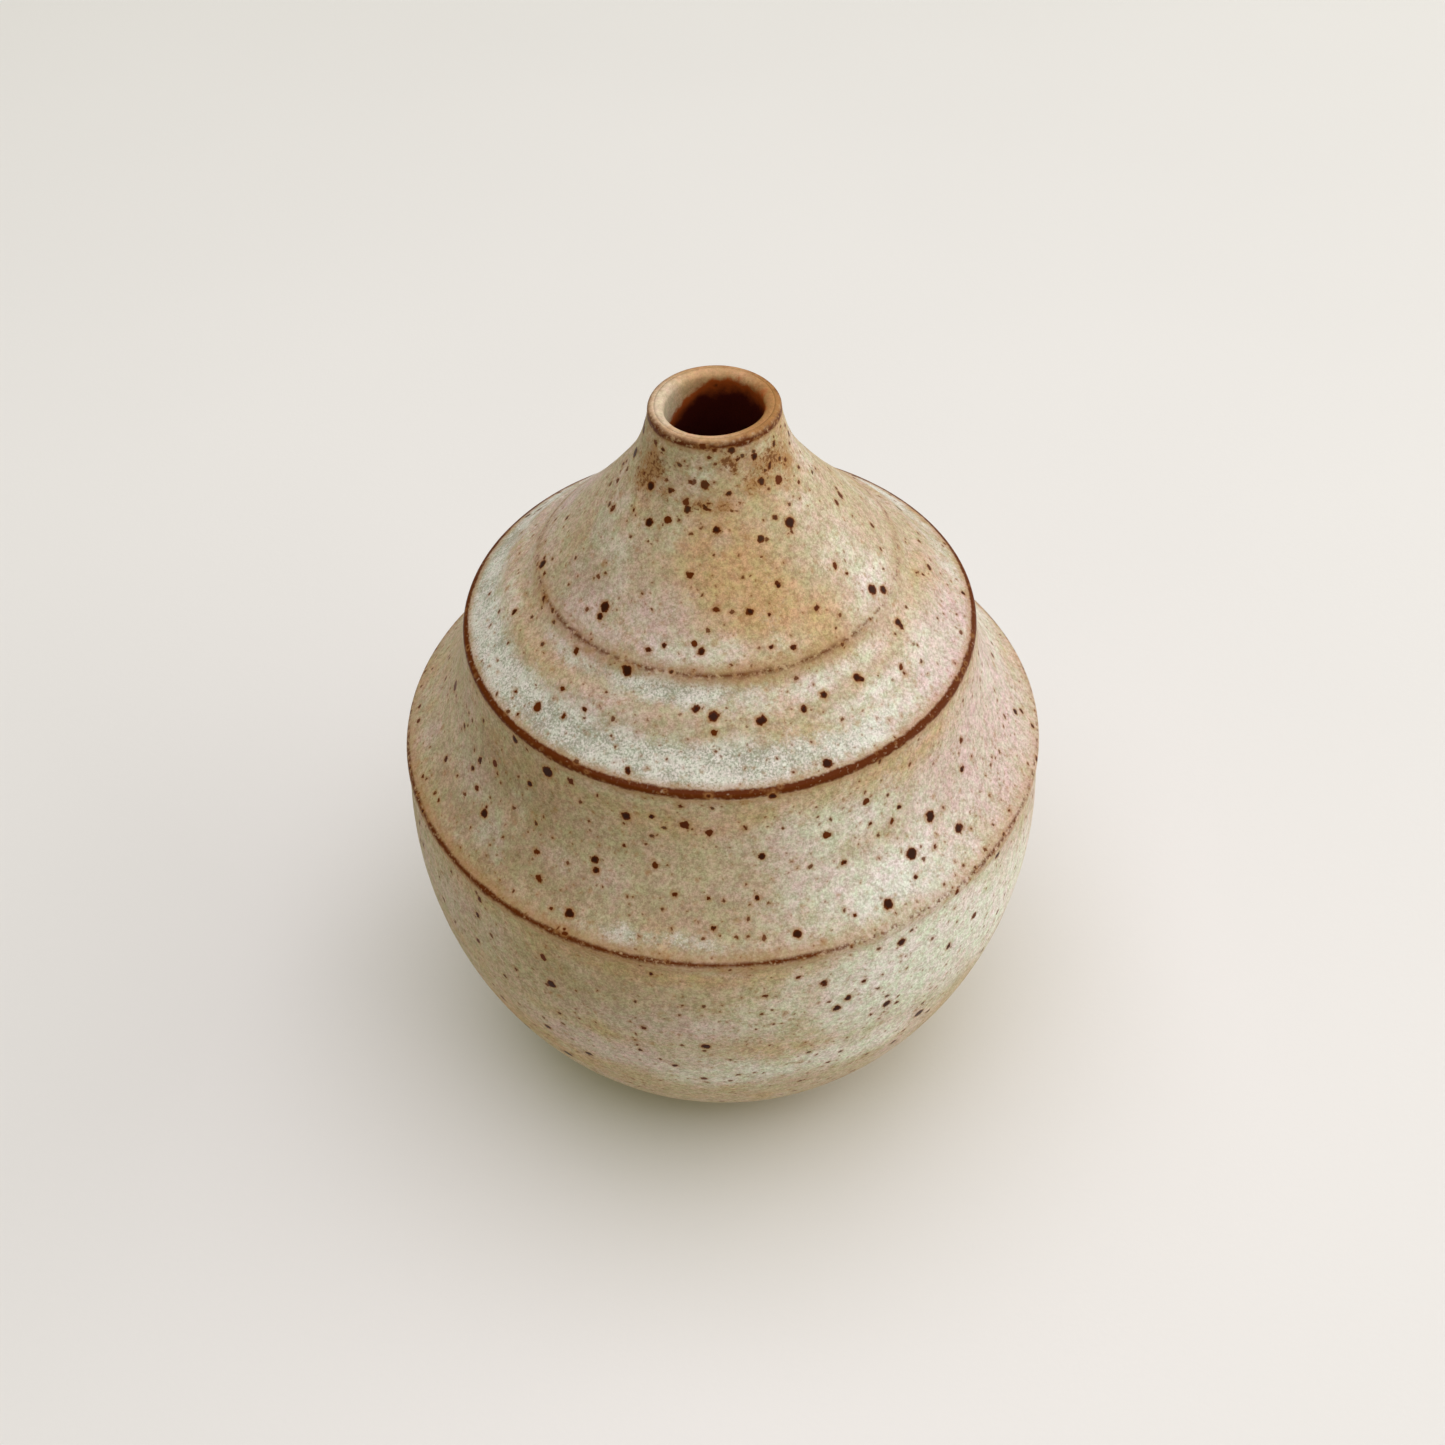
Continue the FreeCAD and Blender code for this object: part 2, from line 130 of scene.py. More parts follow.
class VaseGlaze(bpy.types.PropertyGroup):
    """Colours of the clay and the glazes, as plain surface colours."""

    body: colour("Body", "Plain matte glaze", (0.48, 0.39, 0.275))
    tan: colour("Tan", "Where the glaze is warm", (0.50, 0.33, 0.16))
    # This darker colour is partly painted shade: its patches low on the front left of the cove and the
    # bowl darken where shade falls under the ledge; the others are darker glaze.
    darker_glaze_and_shade: colour("Dusk", "Where the glaze is thin and darker", (0.33, 0.24, 0.14))
    lilac: colour("Lilac", "Pinkish grey patches", (0.57, 0.46, 0.43))
    milk: colour("Milk", "Pale cloudy patches", (0.70, 0.69, 0.64))
    sage: colour("Sage", "Cool ground of the pools", (0.33, 0.345, 0.275))
    chalk: colour("Chalk", "Pale crystals of the pools", (0.74, 0.72, 0.66))
    rust: colour("Rust", "Thin glaze on the edges", (0.105, 0.021, 0.002))
    toast: colour("Toast", "Halo beside the edges and the specks", (0.36, 0.17, 0.055))
    iron: colour("Iron", "Hearts of the iron specks", (0.036, 0.009, 0.003))
    crest: colour("Crest", "Thin glaze on the crest of the lip", (0.60, 0.37, 0.20))
    cream: colour("Cream", "Thick glaze on the crest of the lip", (0.62, 0.50, 0.36))
    liner: colour("Liner", "Glaze inside", (0.050, 0.006, 0.006))
    liner_edge: colour("Liner edge", "Thin glaze at the mouth", (0.46, 0.095, 0.018))
    clay: colour("Clay", "Bare stoneware", (0.40, 0.25, 0.14))
    toasted_clay: colour("Toasted clay", "Bare stoneware beside the glaze line", (0.30, 0.13, 0.05))


class VaseStage(bpy.types.PropertyGroup):
    """Floor, light and camera."""

    floor: colour("Floor", "Pale matte floor", (0.80, 0.775, 0.745))
    fill: colour("Fill", "Colour of the weak light from all round", (0.90, 1.0, 0.42))
    fill_strength: share("Fill strength", "Strength of the weak light from all round", 0.283)
    backdrop: colour("Backdrop", "What the camera sees above the floor", (0.80, 0.78, 0.75))
    top_lamp: colour("Top lamp", "Colour of the soft lamp overhead", (0.85, 0.80, 1.0))
    top_power: watts("Top lamp power", "Power of the soft lamp overhead", 19.6)
    top_size: length("Top lamp size", "Side of the soft lamp overhead", 1600.0)
    side_lamp: colour("Side lamp", "Colour of the tall panel on the right", (0.985, 0.985, 1.0))
    side_power: watts("Side lamp power", "Power of the tall panel on the right", 18.4)
    side_width: length("Side lamp width", "Width of the tall panel on the right", 2400.0)
    side_height: length("Side lamp height", "Height of the tall panel on the right", 1200.0)
    lens: bpy.props.FloatProperty(
        name="Lens", description="Focal length", default=42.35, subtype="DISTANCE_CAMERA"
    )


# ---------------------------------------------------------------- the section of the pot

PITCH = 0.75 * MM  # longest step along an arc
SHARPEST_TURN = math.radians(9)  # largest change of direction in a step
AXIS = 0.0


def bead(edge_radius, edge_height, rounding):
    """Centre and signed radius of a bulge that reaches edge_radius at edge_height."""
    return np.array([edge_radius - rounding, edge_height]), rounding


def hollow(rounding):
    """A dip, whose centre follows from its neighbours."""
    return None, -rounding


def meeting_centre(first, first_gap, second, second_gap):
    """The point at two given gaps g1 and g2 from two centres a distance d apart: it lies
    (g1^2 - g2^2 + d^2) / 2d along the way from the first to the second, and aside of it, on the
    right, by what is left of g1 after Pythagoras."""
    way = second - first
    apart = np.hypot(*way)
    along = (first_gap**2 - second_gap**2 + apart**2) / (2 * apart)
    aside = math.sqrt(first_gap**2 - along**2)
    way = way / apart
    return first + along * way + aside * np.array([way[1], -way[0]])


def section(points, normals, bend, arc):
    return {"point": points, "normal": normals, "bend": bend, "arc": arc}


def walk(arcs, first, last):
    """The chain of arcs as points, outward normals and bends, with the clay always on the left.

    Two arcs with signed radii s1 and s2, a bulge being positive and a dip negative, touch on the
    line between their centres, at s1 / (s1 - s2) of the way. On each arc a point is the centre
    plus the radius times (cos t, sin t), where t turns left on a bulge and right on a dip."""
    arcs = list(arcs)
    for i, (centre, reach) in enumerate(arcs):
        if centre is None:
            gaps = (abs(arcs[i - 1][1] - reach), abs(arcs[i + 1][1] - reach))
            arcs[i] = (meeting_centre(arcs[i - 1][0], gaps[0], arcs[i + 1][0], gaps[1]), reach)
    touches = [first]
    for (centre, reach), (next_centre, next_reach) in zip(arcs, arcs[1:]):
        touches.append(centre + (next_centre - centre) * reach / (reach - next_reach))
    touches.append(last)

    parts = []
    for i, ((centre, reach), start, end) in enumerate(zip(arcs, touches, touches[1:])):
        side = math.copysign(1, reach)
        start_angle, end_angle = (math.atan2(*(p - centre)[::-1]) for p in (start, end))
        turn = side * ((side * (end_angle - start_angle)) % FULL_TURN)
        steps = max(math.ceil(abs(turn * reach) / PITCH), math.ceil(abs(turn) / SHARPEST_TURN))
        angles = start_angle + turn * np.arange(steps) / steps
        out = np.stack([np.cos(angles), np.sin(angles)], axis=1)
        parts.append(
            section(centre + abs(reach) * out, side * out, np.full(steps, 1 / reach), np.full(steps, i))
        )
    return joined(parts)


def straight(start, end):
    """Evenly spaced points from start up to but without end. The normal is the way's right."""
    way = end - start
    steps = max(1, math.ceil(np.hypot(*way) / PITCH))
    points = start + way * (np.arange(steps) / steps)[:, None]
    right = np.array([way[1], -way[0]]) / np.hypot(*way)
    return section(points, np.tile(right, (steps, 1)), np.zeros(steps), np.full(steps, -1))


def joined(parts):
    return {key: np.concatenate([part[key] for part in parts]) for key in parts[0]}


OUTSIDE_ARCS = (
    "bowl", "under_ridge", "ridge", "cove", "ledge", "shelf", "low_step", "gutter",
    "high_step", "cone", "neck", "lip",
)


def main_places(shape):
    """The belly's and the ledge's radius and height, and the bowl's rounding: a circle through
    the foot that stands upright at the belly has the radius (a^2 + b^2) / 2a for a across, b up."""
    belly_radius = shape.ridge_radius + shape.belly_bulge
    belly_height = shape.ridge_height - shape.belly_drop
    overhang = belly_radius - shape.foot_radius
    bowl_round = (overhang**2 + (belly_height - shape.foot_height) ** 2) / (2 * overhang)
    ledge_radius = shape.ridge_radius * shape.ledge_share
    ledge_height = shape.ridge_height + shape.ledge_rise
    return belly_radius, belly_height, bowl_round, ledge_radius, ledge_height


def outside(shape):
    """The outside of the clay from the foot's bevel to the outer edge of the lip's crest."""
    belly_radius, belly_height, bowl_round, ledge_radius, ledge_height = main_places(shape)
    way_in = ledge_radius - shape.lip_radius
    lip_height = ledge_height + shape.lip_rise
    lip = bead(shape.lip_radius, lip_height - shape.lip_edge, shape.lip_edge)
    neck_rise = shape.neck_over + shape.lip_edge
    neck_reach = math.sqrt((shape.neck_round + shape.lip_edge) ** 2 - neck_rise**2)
    arcs = [
        bead(belly_radius, belly_height, bowl_round),
        hollow(shape.under_ridge_round),
        bead(shape.ridge_radius, shape.ridge_height, shape.ridge_bead),
        hollow(shape.cove_round),
        bead(ledge_radius, ledge_height, shape.ledge_bead),
        hollow(shape.shelf_round),
        bead(
            ledge_radius - shape.low_step_in * way_in,
            ledge_height + shape.low_step_up * shape.lip_rise,
            shape.low_step_bead,
        ),
        hollow(shape.gutter_round),
        bead(
            ledge_radius - shape.high_step_in * way_in,
            ledge_height + shape.high_step_up * shape.lip_rise,
            shape.high_step_bead,
        ),
        hollow(shape.cone_round),
        (lip[0] + np.array([neck_reach, neck_rise]), -shape.neck_round),
        lip,
    ]
    foot = np.array([shape.foot_radius, shape.foot_height])
    return walk(arcs, foot, lip[0] + np.array([0, shape.lip_edge]))


def inside(shape):
    """The lip's crest, then the throat, the hollow's wall and its floor, up to the axis."""
    belly_radius, belly_height, bowl_round, ledge_radius, ledge_height = main_places(shape)
    lip_height = ledge_height + shape.lip_rise
    throat_radius = shape.lip_radius - shape.lip_wall
    floor_height = shape.recess_depth + shape.floor_thickness
    hollow_radius = belly_radius - shape.wall
    inset = hollow_radius - ledge_radius + shape.ledge_wall
    shoulder_round = (inset**2 + (ledge_height - belly_height) ** 2) / (2 * inset)

    crest_outer = np.array([shape.lip_radius - shape.lip_edge, lip_height])
    lip_centre = np.array([throat_radius + shape.lip_inner, lip_height - shape.lip_inner])
    crest_inner = lip_centre + np.array([0, shape.lip_inner])
    throat_top = lip_centre - np.array([shape.lip_inner, 0])
    shoulder_centre = np.array([hollow_radius - shoulder_round, belly_height])
    flare_x = throat_radius + shape.flare_round
    flare_gap = shoulder_round + shape.flare_round
    flare_rise = math.sqrt(flare_gap**2 - (flare_x - shoulder_centre[0]) ** 2)
    flare_centre = np.array([flare_x, belly_height + flare_rise])
    wall_centre = np.array([belly_radius - bowl_round, belly_height])
    corner_height = floor_height + shape.corner_round
    corner_gap = bowl_round - shape.wall - shape.corner_round
    corner_reach = math.sqrt(corner_gap**2 - (corner_height - belly_height) ** 2)
    corner_centre = wall_centre + np.array([corner_reach, corner_height - belly_height])
    throat_foot = np.array([throat_radius, flare_centre[1]])
    widest = np.array([hollow_radius, belly_height])
    floor_edge = np.array([corner_centre[0], floor_height])
    upper = [(flare_centre, shape.flare_round), (shoulder_centre, -shoulder_round)]
    lower = [(wall_centre, shape.wall - bowl_round), (corner_centre, -shape.corner_round)]
    return joined([
        straight(crest_outer, crest_inner),
        walk([(lip_centre, shape.lip_inner)], crest_inner, throat_top),
        straight(throat_top, throat_foot),
        walk(upper, throat_foot, widest),
        walk(lower, widest, floor_edge),
        straight(floor_edge, np.array([AXIS, floor_height])),
    ])


def underside(shape):
    """From the middle of the recess, over the foot's face and up its bevel, with soft corners.

    A corner is a parabola from one leg to the other: (1-t)^2 A + 2t(1-t) P + t^2 B, where P is
    the corner and A and B lie on its legs, the rounding away from it."""
    face_radius = shape.foot_radius - shape.foot_bevel
    rim = face_radius - shape.foot_ring_width
    corners = np.array([
        [AXIS, shape.recess_depth],
        [rim - shape.recess_slope, shape.recess_depth],
        [rim, 0.0],
        [face_radius, 0.0],
        [shape.foot_radius, shape.foot_height],
    ])
    legs = np.diff(corners, axis=0)
    legs /= np.hypot(*legs.T)[:, None]
    parts = []
    start = corners[0]
    t = np.linspace(0, 1, 6)[:-1, None]
    for corner, leg_in, leg_out in zip(corners[1:-1], legs, legs[1:]):
        near, far = corner - leg_in * shape.foot_rounding, corner + leg_out * shape.foot_rounding
        parts.append(straight(start, near))
        curve = (1 - t) ** 2 * near + 2 * t * (1 - t) * corner + t**2 * far
        parts.append(
            section(curve, np.tile([0.0, -1.0], (len(t), 1)), np.zeros(len(t)), np.full(len(t), -1))
        )
        start = far
    parts.append(straight(start, corners[-1]))
    return joined(parts)


def whole_section(shape):
    """The glazed part of the section as arrays along one way, in metres from the foot's bevel,
    and the places of its edges on that way."""
    out, back = outside(shape), inside(shape)
    all_round = joined([out, back])
    end = np.array([[AXIS, back["point"][-1, 1]]])
    points = np.concatenate([all_round["point"], end])
    normals = np.concatenate([all_round["normal"], [[0.0, 1.0]]])
    bend = np.append(all_round["bend"], 0.0)
    way = np.concatenate([[0.0], np.cumsum(np.hypot(*np.diff(points, axis=0).T))])
    marks = {
        name: way[: len(out["arc"])][out["arc"] == i].mean() for i, name in enumerate(OUTSIDE_ARCS)
    }
    crest = len(out["point"])
    crest_edges = (-shape.lip_edge, shape.lip_inner - shape.lip_wall)
    marks["seam"] = way[crest] + points[crest, 0] - shape.lip_radius - sum(crest_edges) / 2
    marks["end"] = way[-1]
    marks["glaze_line"] = np.interp(shape.glaze_line, points[:crest, 1], way[:crest])
    return {"points": points, "normals": normals, "bend": bend, "way": way, "marks": marks}


# ---------------------------------------------------------------- the potter's hand

RING_SPACING = 3.7 * MM
BLUR_STEP = 0.2 * MM
BLUR_REACH = 1.2 * MM


def eased(value, low, high):
    """0 below low, 1 above high, and 3t^2 - 2t^3 between them."""
    t = np.clip((value - low) / (high - low), 0, 1)
    return t * t * (3 - 2 * t)


def lumps(angle, along, size, seed):
    """Soft unevenness from -1 to 1: the mean of a few waves round the pot and along it, with
    whole numbers of waves round and random lengths, weights and starts."""
    rng = np.random.default_rng(seed)
    total = np.zeros(np.broadcast(angle, along).shape)
    waves = 7
    for _ in range(waves):
        rounds = rng.integers(1, 7)
        pace = rng.uniform(-1, 1) * FULL_TURN / size
        total += rng.uniform(0.5, 1) * np.cos(rounds * angle + pace * along + rng.uniform(0, FULL_TURN))
    return total / waves


def set_on_wheel(shape, radius, height, angle, ringed):
    """Puts the points (radius, height) round the axis at each angle, with the potter's hand.

    x = r sin a, y = -r cos a, z = h, where r gains a little oval that grows towards the lip and
    a spiral of finger rings, one cosine wave each few millimetres of height, and the whole ring
    is shifted by the lean. All of it dies out at the foot, which stays flat."""
    rise = eased(height, 2 * MM, 30 * MM)
    high = eased(height, 55 * MM, 119 * MM)
    off_axis = np.minimum(radius / (4 * MM), 1)
    two_sided, three_sided = np.cos(2 * angle + 0.7), np.cos(3 * angle + 2.2)
    oval = shape.oval * (0.5 * rise * two_sided + 0.5 * high * three_sided - rise * (1 - high))
    turns = FULL_TURN * height / RING_SPACING + angle + 2.0 * lumps(angle, height, 40 * MM, 11)
    deep = 0.55 + 0.45 * lumps(angle, height, 25 * MM, 12)
    rings = shape.throwing_rings * ringed * rise * 0.5 * (np.cos(turns) - 1) * deep
    around = radius + oval * off_axis + rings
    tilt = shape.oval * high * (np.cos(angle - 0.9) - 1)
    x = around * np.sin(angle) - shape.lean * high
    y = -around * np.cos(angle) - 0.3 * shape.lean * high
    return np.stack([x, y, height + tilt * off_axis], axis=-1)


def glaze_depth(shape, profile, way, angle):
    """Thickness of the glaze: the coat, less on bulges and more in dips by the bend of the clay
    blurred over a few millimetres of the way, with soft lumps, and rounded off at its line."""
    even_way = np.arange(0, profile["marks"]["end"], BLUR_STEP)
    even_bend = np.interp(even_way, profile["way"], profile["bend"])
    kernel_way = np.arange(-3 * BLUR_REACH, 3 * BLUR_REACH, BLUR_STEP)
    kernel = np.exp(-0.5 * (kernel_way / BLUR_REACH) ** 2)
    blurred = np.convolve(even_bend, kernel / kernel.sum(), mode="same")
    swell = np.clip(-blurred * 1.1 * MM, -0.2, 0.3)
    wide, narrow = lumps(angle, way, 30 * MM, 21), lumps(5 * angle, way, 7 * MM, 22)
    uneven = 1 + np.interp(way, even_way, swell) + 0.10 * wide + 0.05 * narrow
    from_line = np.clip((way - profile["marks"]["glaze_line"]) / (1.0 * MM), 0, 1)
    return shape.coat * uneven * np.sqrt(1 - (1 - from_line) ** 2)


def thin_or_thick(profile, way):
    """How the clay bends there, from 1 on a sharp bulge to -1 in a tight dip."""
    return np.interp(way, profile["way"], np.clip(profile["bend"] * 3 * MM, -1, 1))


# ---------------------------------------------------------------- meshes


def grid_faces(rows, columns, closed):
    """Quads between neighbouring rows and columns of a grid whose columns close round the pot,
    and whose rows close too if closed is set. The corners go round so that a way up the outside
    gives faces that look outwards."""
    row = np.arange(rows if closed else rows - 1)[:, None]
    column = np.arange(columns)[None, :]
    next_row, next_column = (row + 1) % rows, (column + 1) % columns
    corners = (
        row * columns + column,
        row * columns + next_column,
        next_row * columns + next_column,
        next_row * columns + column,
    )
    return np.stack(np.broadcast_arrays(*corners), axis=-1).reshape(-1, 4)


def pole_faces(pole, ring_start, columns, first):
    """Triangles from a pole to the ring of points next to it."""
    ring = ring_start + np.arange(columns)
    after = ring_start + (np.arange(columns) + 1) % columns
    middle = np.full(columns, pole)
    return np.stack([middle, after, ring] if first else [middle, ring, after], axis=-1)


def make_piece(name, grid, poles, attributes, node, material):
    """A mesh from a grid of points, rows along the section and columns round the pot. With
    poles, the first and the last row lie on the axis and each becomes one point."""
    rows, columns = grid.shape[:2]
    if poles:
        inner = grid[1:-1].reshape(-1, 3)
        points = np.concatenate([inner, grid[:1, 0], grid[-1:, 0]])
        quads = grid_faces(rows - 2, columns, closed=False)
        first_fan = pole_faces(len(inner), 0, columns, first=True)
        last_fan = pole_faces(len(inner) + 1, (rows - 3) * columns, columns, first=False)
        faces = quads.tolist() + first_fan.tolist() + last_fan.tolist()
    else:
        points = grid.reshape(-1, 3)
        faces = grid_faces(rows, columns, closed=True).tolist()
    mesh = bpy.data.meshes.new(name)
    mesh.from_pydata(points, [], faces)
    for key, values in attributes.items():
        values = np.broadcast_to(values, (rows, columns))
        if poles:
            values = np.concatenate([values[1:-1].ravel(), values[0, :1], values[-1, :1]])
        layer = mesh.attributes.new(key, "FLOAT", "POINT")
        layer.data.foreach_set("value", np.ascontiguousarray(values, dtype=np.float32).ravel())
    mesh.polygons.foreach_set("use_smooth", np.ones(len(mesh.polygons), dtype=bool))
    mesh.update()
    mesh.materials.append(material)
    piece = bpy.data.objects.new(name, mesh)
    bpy.context.scene.collection.objects.link(piece)
    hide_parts(node)
    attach(piece, "root")
    return piece


# Where the kiln and the dipping left their colours, and painted shade in some of the darker patches:
# angle from the front in degrees, height in millimetres, spread in degrees, spread in millimetres,
# strength.
TINTS = {
    "tan": [
        (5, 105, 22, 7, 0.9), (18, 100, 18, 5, 0.9), (36, 97, 14, 3, 0.8), (62, 91, 18, 1.5, 0.45),
        (5, 88.5, 26, 1.0, 0.4), (45, 80, 40, 2.5, 0.8), (5, 79, 30, 2.5, 0.6),
        (-45, 79, 30, 2, 0.5), (0, 59, 55, 2.0, 0.6), (-55, 63, 30, 2, 0.5), (50, 62, 30, 2.0, 0.5),
        (-38, 31, 22, 6, 0.6), (35, 112, 30, 4, 0.6), (-55, 90, 18, 1.5, 0.5),
        (160, 100, 30, 8, 0.8), (215, 78, 40, 4, 0.7), (130, 60, 40, 3, 0.6), (175, 35, 35, 9, 0.6),
        (12, 54, 14, 3, 0.5),
    ],
    # Painted shade: the patches at -46, -26 and -2 degrees, low on the cove and the bowl, darken the
    # front left where shade falls under the ledge; the rest are darker glaze.
    "darker_glaze_and_shade": [
        (-46, 75, 20, 6, 0.75), (-46, 66.5, 22, 3, 0.8), (-66, 102, 14, 6, 0.6),
        (-26, 53, 16, 6, 0.55), (-2, 66.5, 22, 2.5, 0.45), (0, 113, 40, 3, 0.35),
        (-55, 113, 24, 3.5, 0.6), (45, 114, 22, 2.5, 0.5), (200, 68, 30, 6, 0.5),
        (-100, 45, 20, 8, 0.4),
    ],
    "lilac": [
        (-50, 96, 16, 4, 0.7), (-22, 98, 16, 3.5, 0.6), (-60, 71, 12, 4, 0.6), (72, 72, 28, 8, 1.0),
        (60, 68, 14, 4, 0.6), (70, 86, 18, 3.0, 1.1), (85, 52, 18, 12, 0.7), (-12, 48, 14, 4, 0.7),
        (-20, 38, 14, 4, 0.8), (18, 56, 10, 3, 0.5), (-60, 52, 12, 6, 0.5),
        (-35, 88.5, 14, 1.6, 0.6), (150, 80, 30, 6, 0.7), (235, 95, 30, 6, 0.7),
        (190, 50, 30, 8, 0.7),
    ],
    "milk": [
        (36, 52, 18, 9, 1.1), (12, 52, 10, 6, 0.5), (62, 96, 14, 3, 0.6), (40, 88.5, 14, 1.0, 0.7),
        (55, 47, 16, 8, 0.9), (20, 36, 16, 4, 0.8), (2, 35, 12, 4, 0.7), (30, 67, 16, 3.5, 0.8),
        (24, 76, 12, 4, 0.7), (60, 100, 16, 4, 0.4), (30, 91.5, 25, 1.0, 0.6),
        (-4, 96.2, 26, 1.2, 0.5), (-10, 114, 9, 1.8, 0.5), (36, 86, 22, 2.0, 0.6),
        (125, 70, 25, 7, 0.8), (205, 88, 30, 3, 0.7), (240, 45, 25, 10, 0.8), (165, 65, 25, 3, 0.6),
    ],
    "chalk": [
        (-100, 86, 40, 1.8, 0.9), (-70, 86, 30, 1.9, 1.0), (-35, 86, 26, 1.7, 1.0),
        (-5, 85.8, 26, 1.7, 1.1), (25, 85.6, 18, 1.3, 0.7), (-14, 92.2, 18, 1.0, 0.9),
        (-45, 91.8, 14, 0.8, 0.5), (5, 34, 12, 3.5, 0.45), (-12, 63.9, 13, 1.0, 0.6),
        (34, 65, 12, 1.6, 0.5), (42, 50, 20, 9, 0.35), (150, 86, 40, 1.8, 0.8),
        (220, 86, 40, 1.7, 0.9), (180, 92, 40, 1.0, 0.7), (185, 64, 30, 1.5, 0.6),
    ],
    "smear": [
        (-50, 114, 12, 1.4, 0.8), (-58, 111.5, 12, 1.6, 0.8), (-38, 111, 7, 0.8, 0.6),
        (-46, 112.8, 9, 1.0, 0.7), (30, 112.5, 9, 0.9, 0.7), (55, 111, 12, 0.9, 0.5),
        (48, 114.5, 14, 1.5, 0.9), (62, 113, 10, 1.5, 0.6), (9, 116.3, 5, 0.7, 1.1),
        (14, 115.2, 4, 0.8, 1.0), (-10, 110.8, 7, 0.5, 0.8), (6, 110.6, 6, 0.5, 0.8),
        (16, 110.7, 5, 0.4, 0.8), (-4, 113, 7, 0.8, 0.5), (24, 113.6, 8, 0.8, 0.6),
        (130, 114, 20, 2, 0.7), (200, 112, 20, 2, 0.6),
    ],
    "bite": [
        (15, 118, 30, 2, 0.8), (-50, 118, 25, 2, 0.6), (-40, 62, 40, 3, 1.0), (0, 62, 14, 3, 0.9),
        (12, 62, 6, 3, 0.7), (52, 62, 16, 3, 0.45), (-48, 94, 34, 3, 0.6), (2, 94, 14, 3, 0.8),
        (34, 94, 12, 3, 0.7), (175, 62, 50, 3, 0.9), (190, 94, 40, 3, 0.7),
    ],
    "cream": [(-90, 119, 40, 6, 1.1), (-40, 119, 22, 3, 0.55), (5, 119, 16, 3, 0.3)],
    "ember": [(80, 119, 42, 3, 1.2), (170, 119, 40, 3, 0.35)],
}

# Iron specks that catch the eye: angle, height and radius.
BOLD_SPECKS = [
    (44, 106.5, 0.75), (-44, 97.5, 0.7), (-44, 96.5, 0.5), (62, 95.5, 0.75), (66, 94.5, 0.65),
    (12, 99.5, 0.5), (-28, 93, 0.75), (-2, 90, 0.65), (10, 89.5, 0.65), (28, 90, 0.55),
    (39, 90, 0.6), (10, 83, 0.6), (-39, 80.5, 0.9), (44, 70, 0.8), (-53, 68, 0.7), (-20, 78.5, 0.6),
    (37, 67.5, 0.8), (-28, 64, 0.7), (12, 64, 0.6), (29, 64, 0.7), (18, 49.5, 0.65), (20, 51, 0.55),
    (-4, 44, 0.7), (30, 58, 0.65), (-25, 69.5, 0.5), (-34, 36.5, 0.6), (-6, 96, 0.5), (62, 91, 0.55),
    (-50, 111, 0.6), (0, 108, 0.5), (150, 98, 0.7), (205, 76, 0.8), (230, 60, 0.7), (165, 52, 0.8),
    (185, 105, 0.6), (120, 88, 0.6),
]


def round_bell(angle, centre, wide):
    """exp(-t^2 / 2), where t is the turn from the centre over the width, both in degrees."""
    turn = (angle - math.radians(centre) + math.pi) % FULL_TURN - math.pi
    return np.exp(-0.5 * (turn / math.radians(wide)) ** 2)


def tint(name, angle, height):
    """The strongest of the tint's patches at each point, each a bell in angle and height."""
    strongest = np.zeros(np.broadcast(angle, height).shape)
    for centre, level, wide, tall, strength in TINTS[name]:
        bell = round_bell(angle, centre, wide) * np.exp(-0.5 * ((height / MM - level) / tall) ** 2)
        strongest = np.maximum(strongest, strength * bell)
    return strongest


def around_pot(count):
    return np.arange(count)[None, :] * FULL_TURN / count


def at_way(profile, way):
    """Points and unit normals of the section at each place on the way."""
    columns = (profile["points"].T, profile["normals"].T)
    (radius, height), normal = ([np.interp(way, profile["way"], c) for c in pair] for pair in columns)
    size = np.hypot(*normal)
    return radius, height, normal[0] / size, normal[1] / size


def coat_of_glaze(shape, way, under_way, angle, wander):
    """A shell of glaze: the glazed surface along the way, then back along the clay beneath it.
    Each surface point is the clay's plus the glaze's depth along the clay's normal."""
    profile = whole_section(shape)
    line = profile["marks"]["glaze_line"]

    def strayed_from(places):
        """The places moved along the way near the glaze's line, so that the line wanders."""
        fade = 1 - eased(places, line, line + 8 * MM)
        return places[:, None] + (wander * fade)[:, None] * lumps(angle, 0.0, 1.0, 31)

    strayed, under = strayed_from(way), strayed_from(under_way)
    radius, height, out_r, out_z = at_way(profile, strayed)
    depth = glaze_depth(shape, profile, way[:, None], angle)
    under_radius, under_height, _, _ = at_way(profile, under)
    loop_radius = np.concatenate([radius + depth * out_r, under_radius])
    loop_height = np.concatenate([height + depth * out_z, under_height])
    loop_way = np.concatenate([strayed, under])
    angles = np.broadcast_to(angle, loop_radius.shape)
    ringed = 1.0 - np.abs(np.clip(thin_or_thick(profile, loop_way), -1, 1)) ** 0.5
    grid = set_on_wheel(shape, loop_radius, loop_height, angles, ringed)
    attributes = {"way": (loop_way - profile["marks"]["seam"]) / MM}
    attributes |= {name: tint(name, angles, loop_height) for name in TINTS}
    return grid, attributes


# ---------------------------------------------------------------- shader nodes


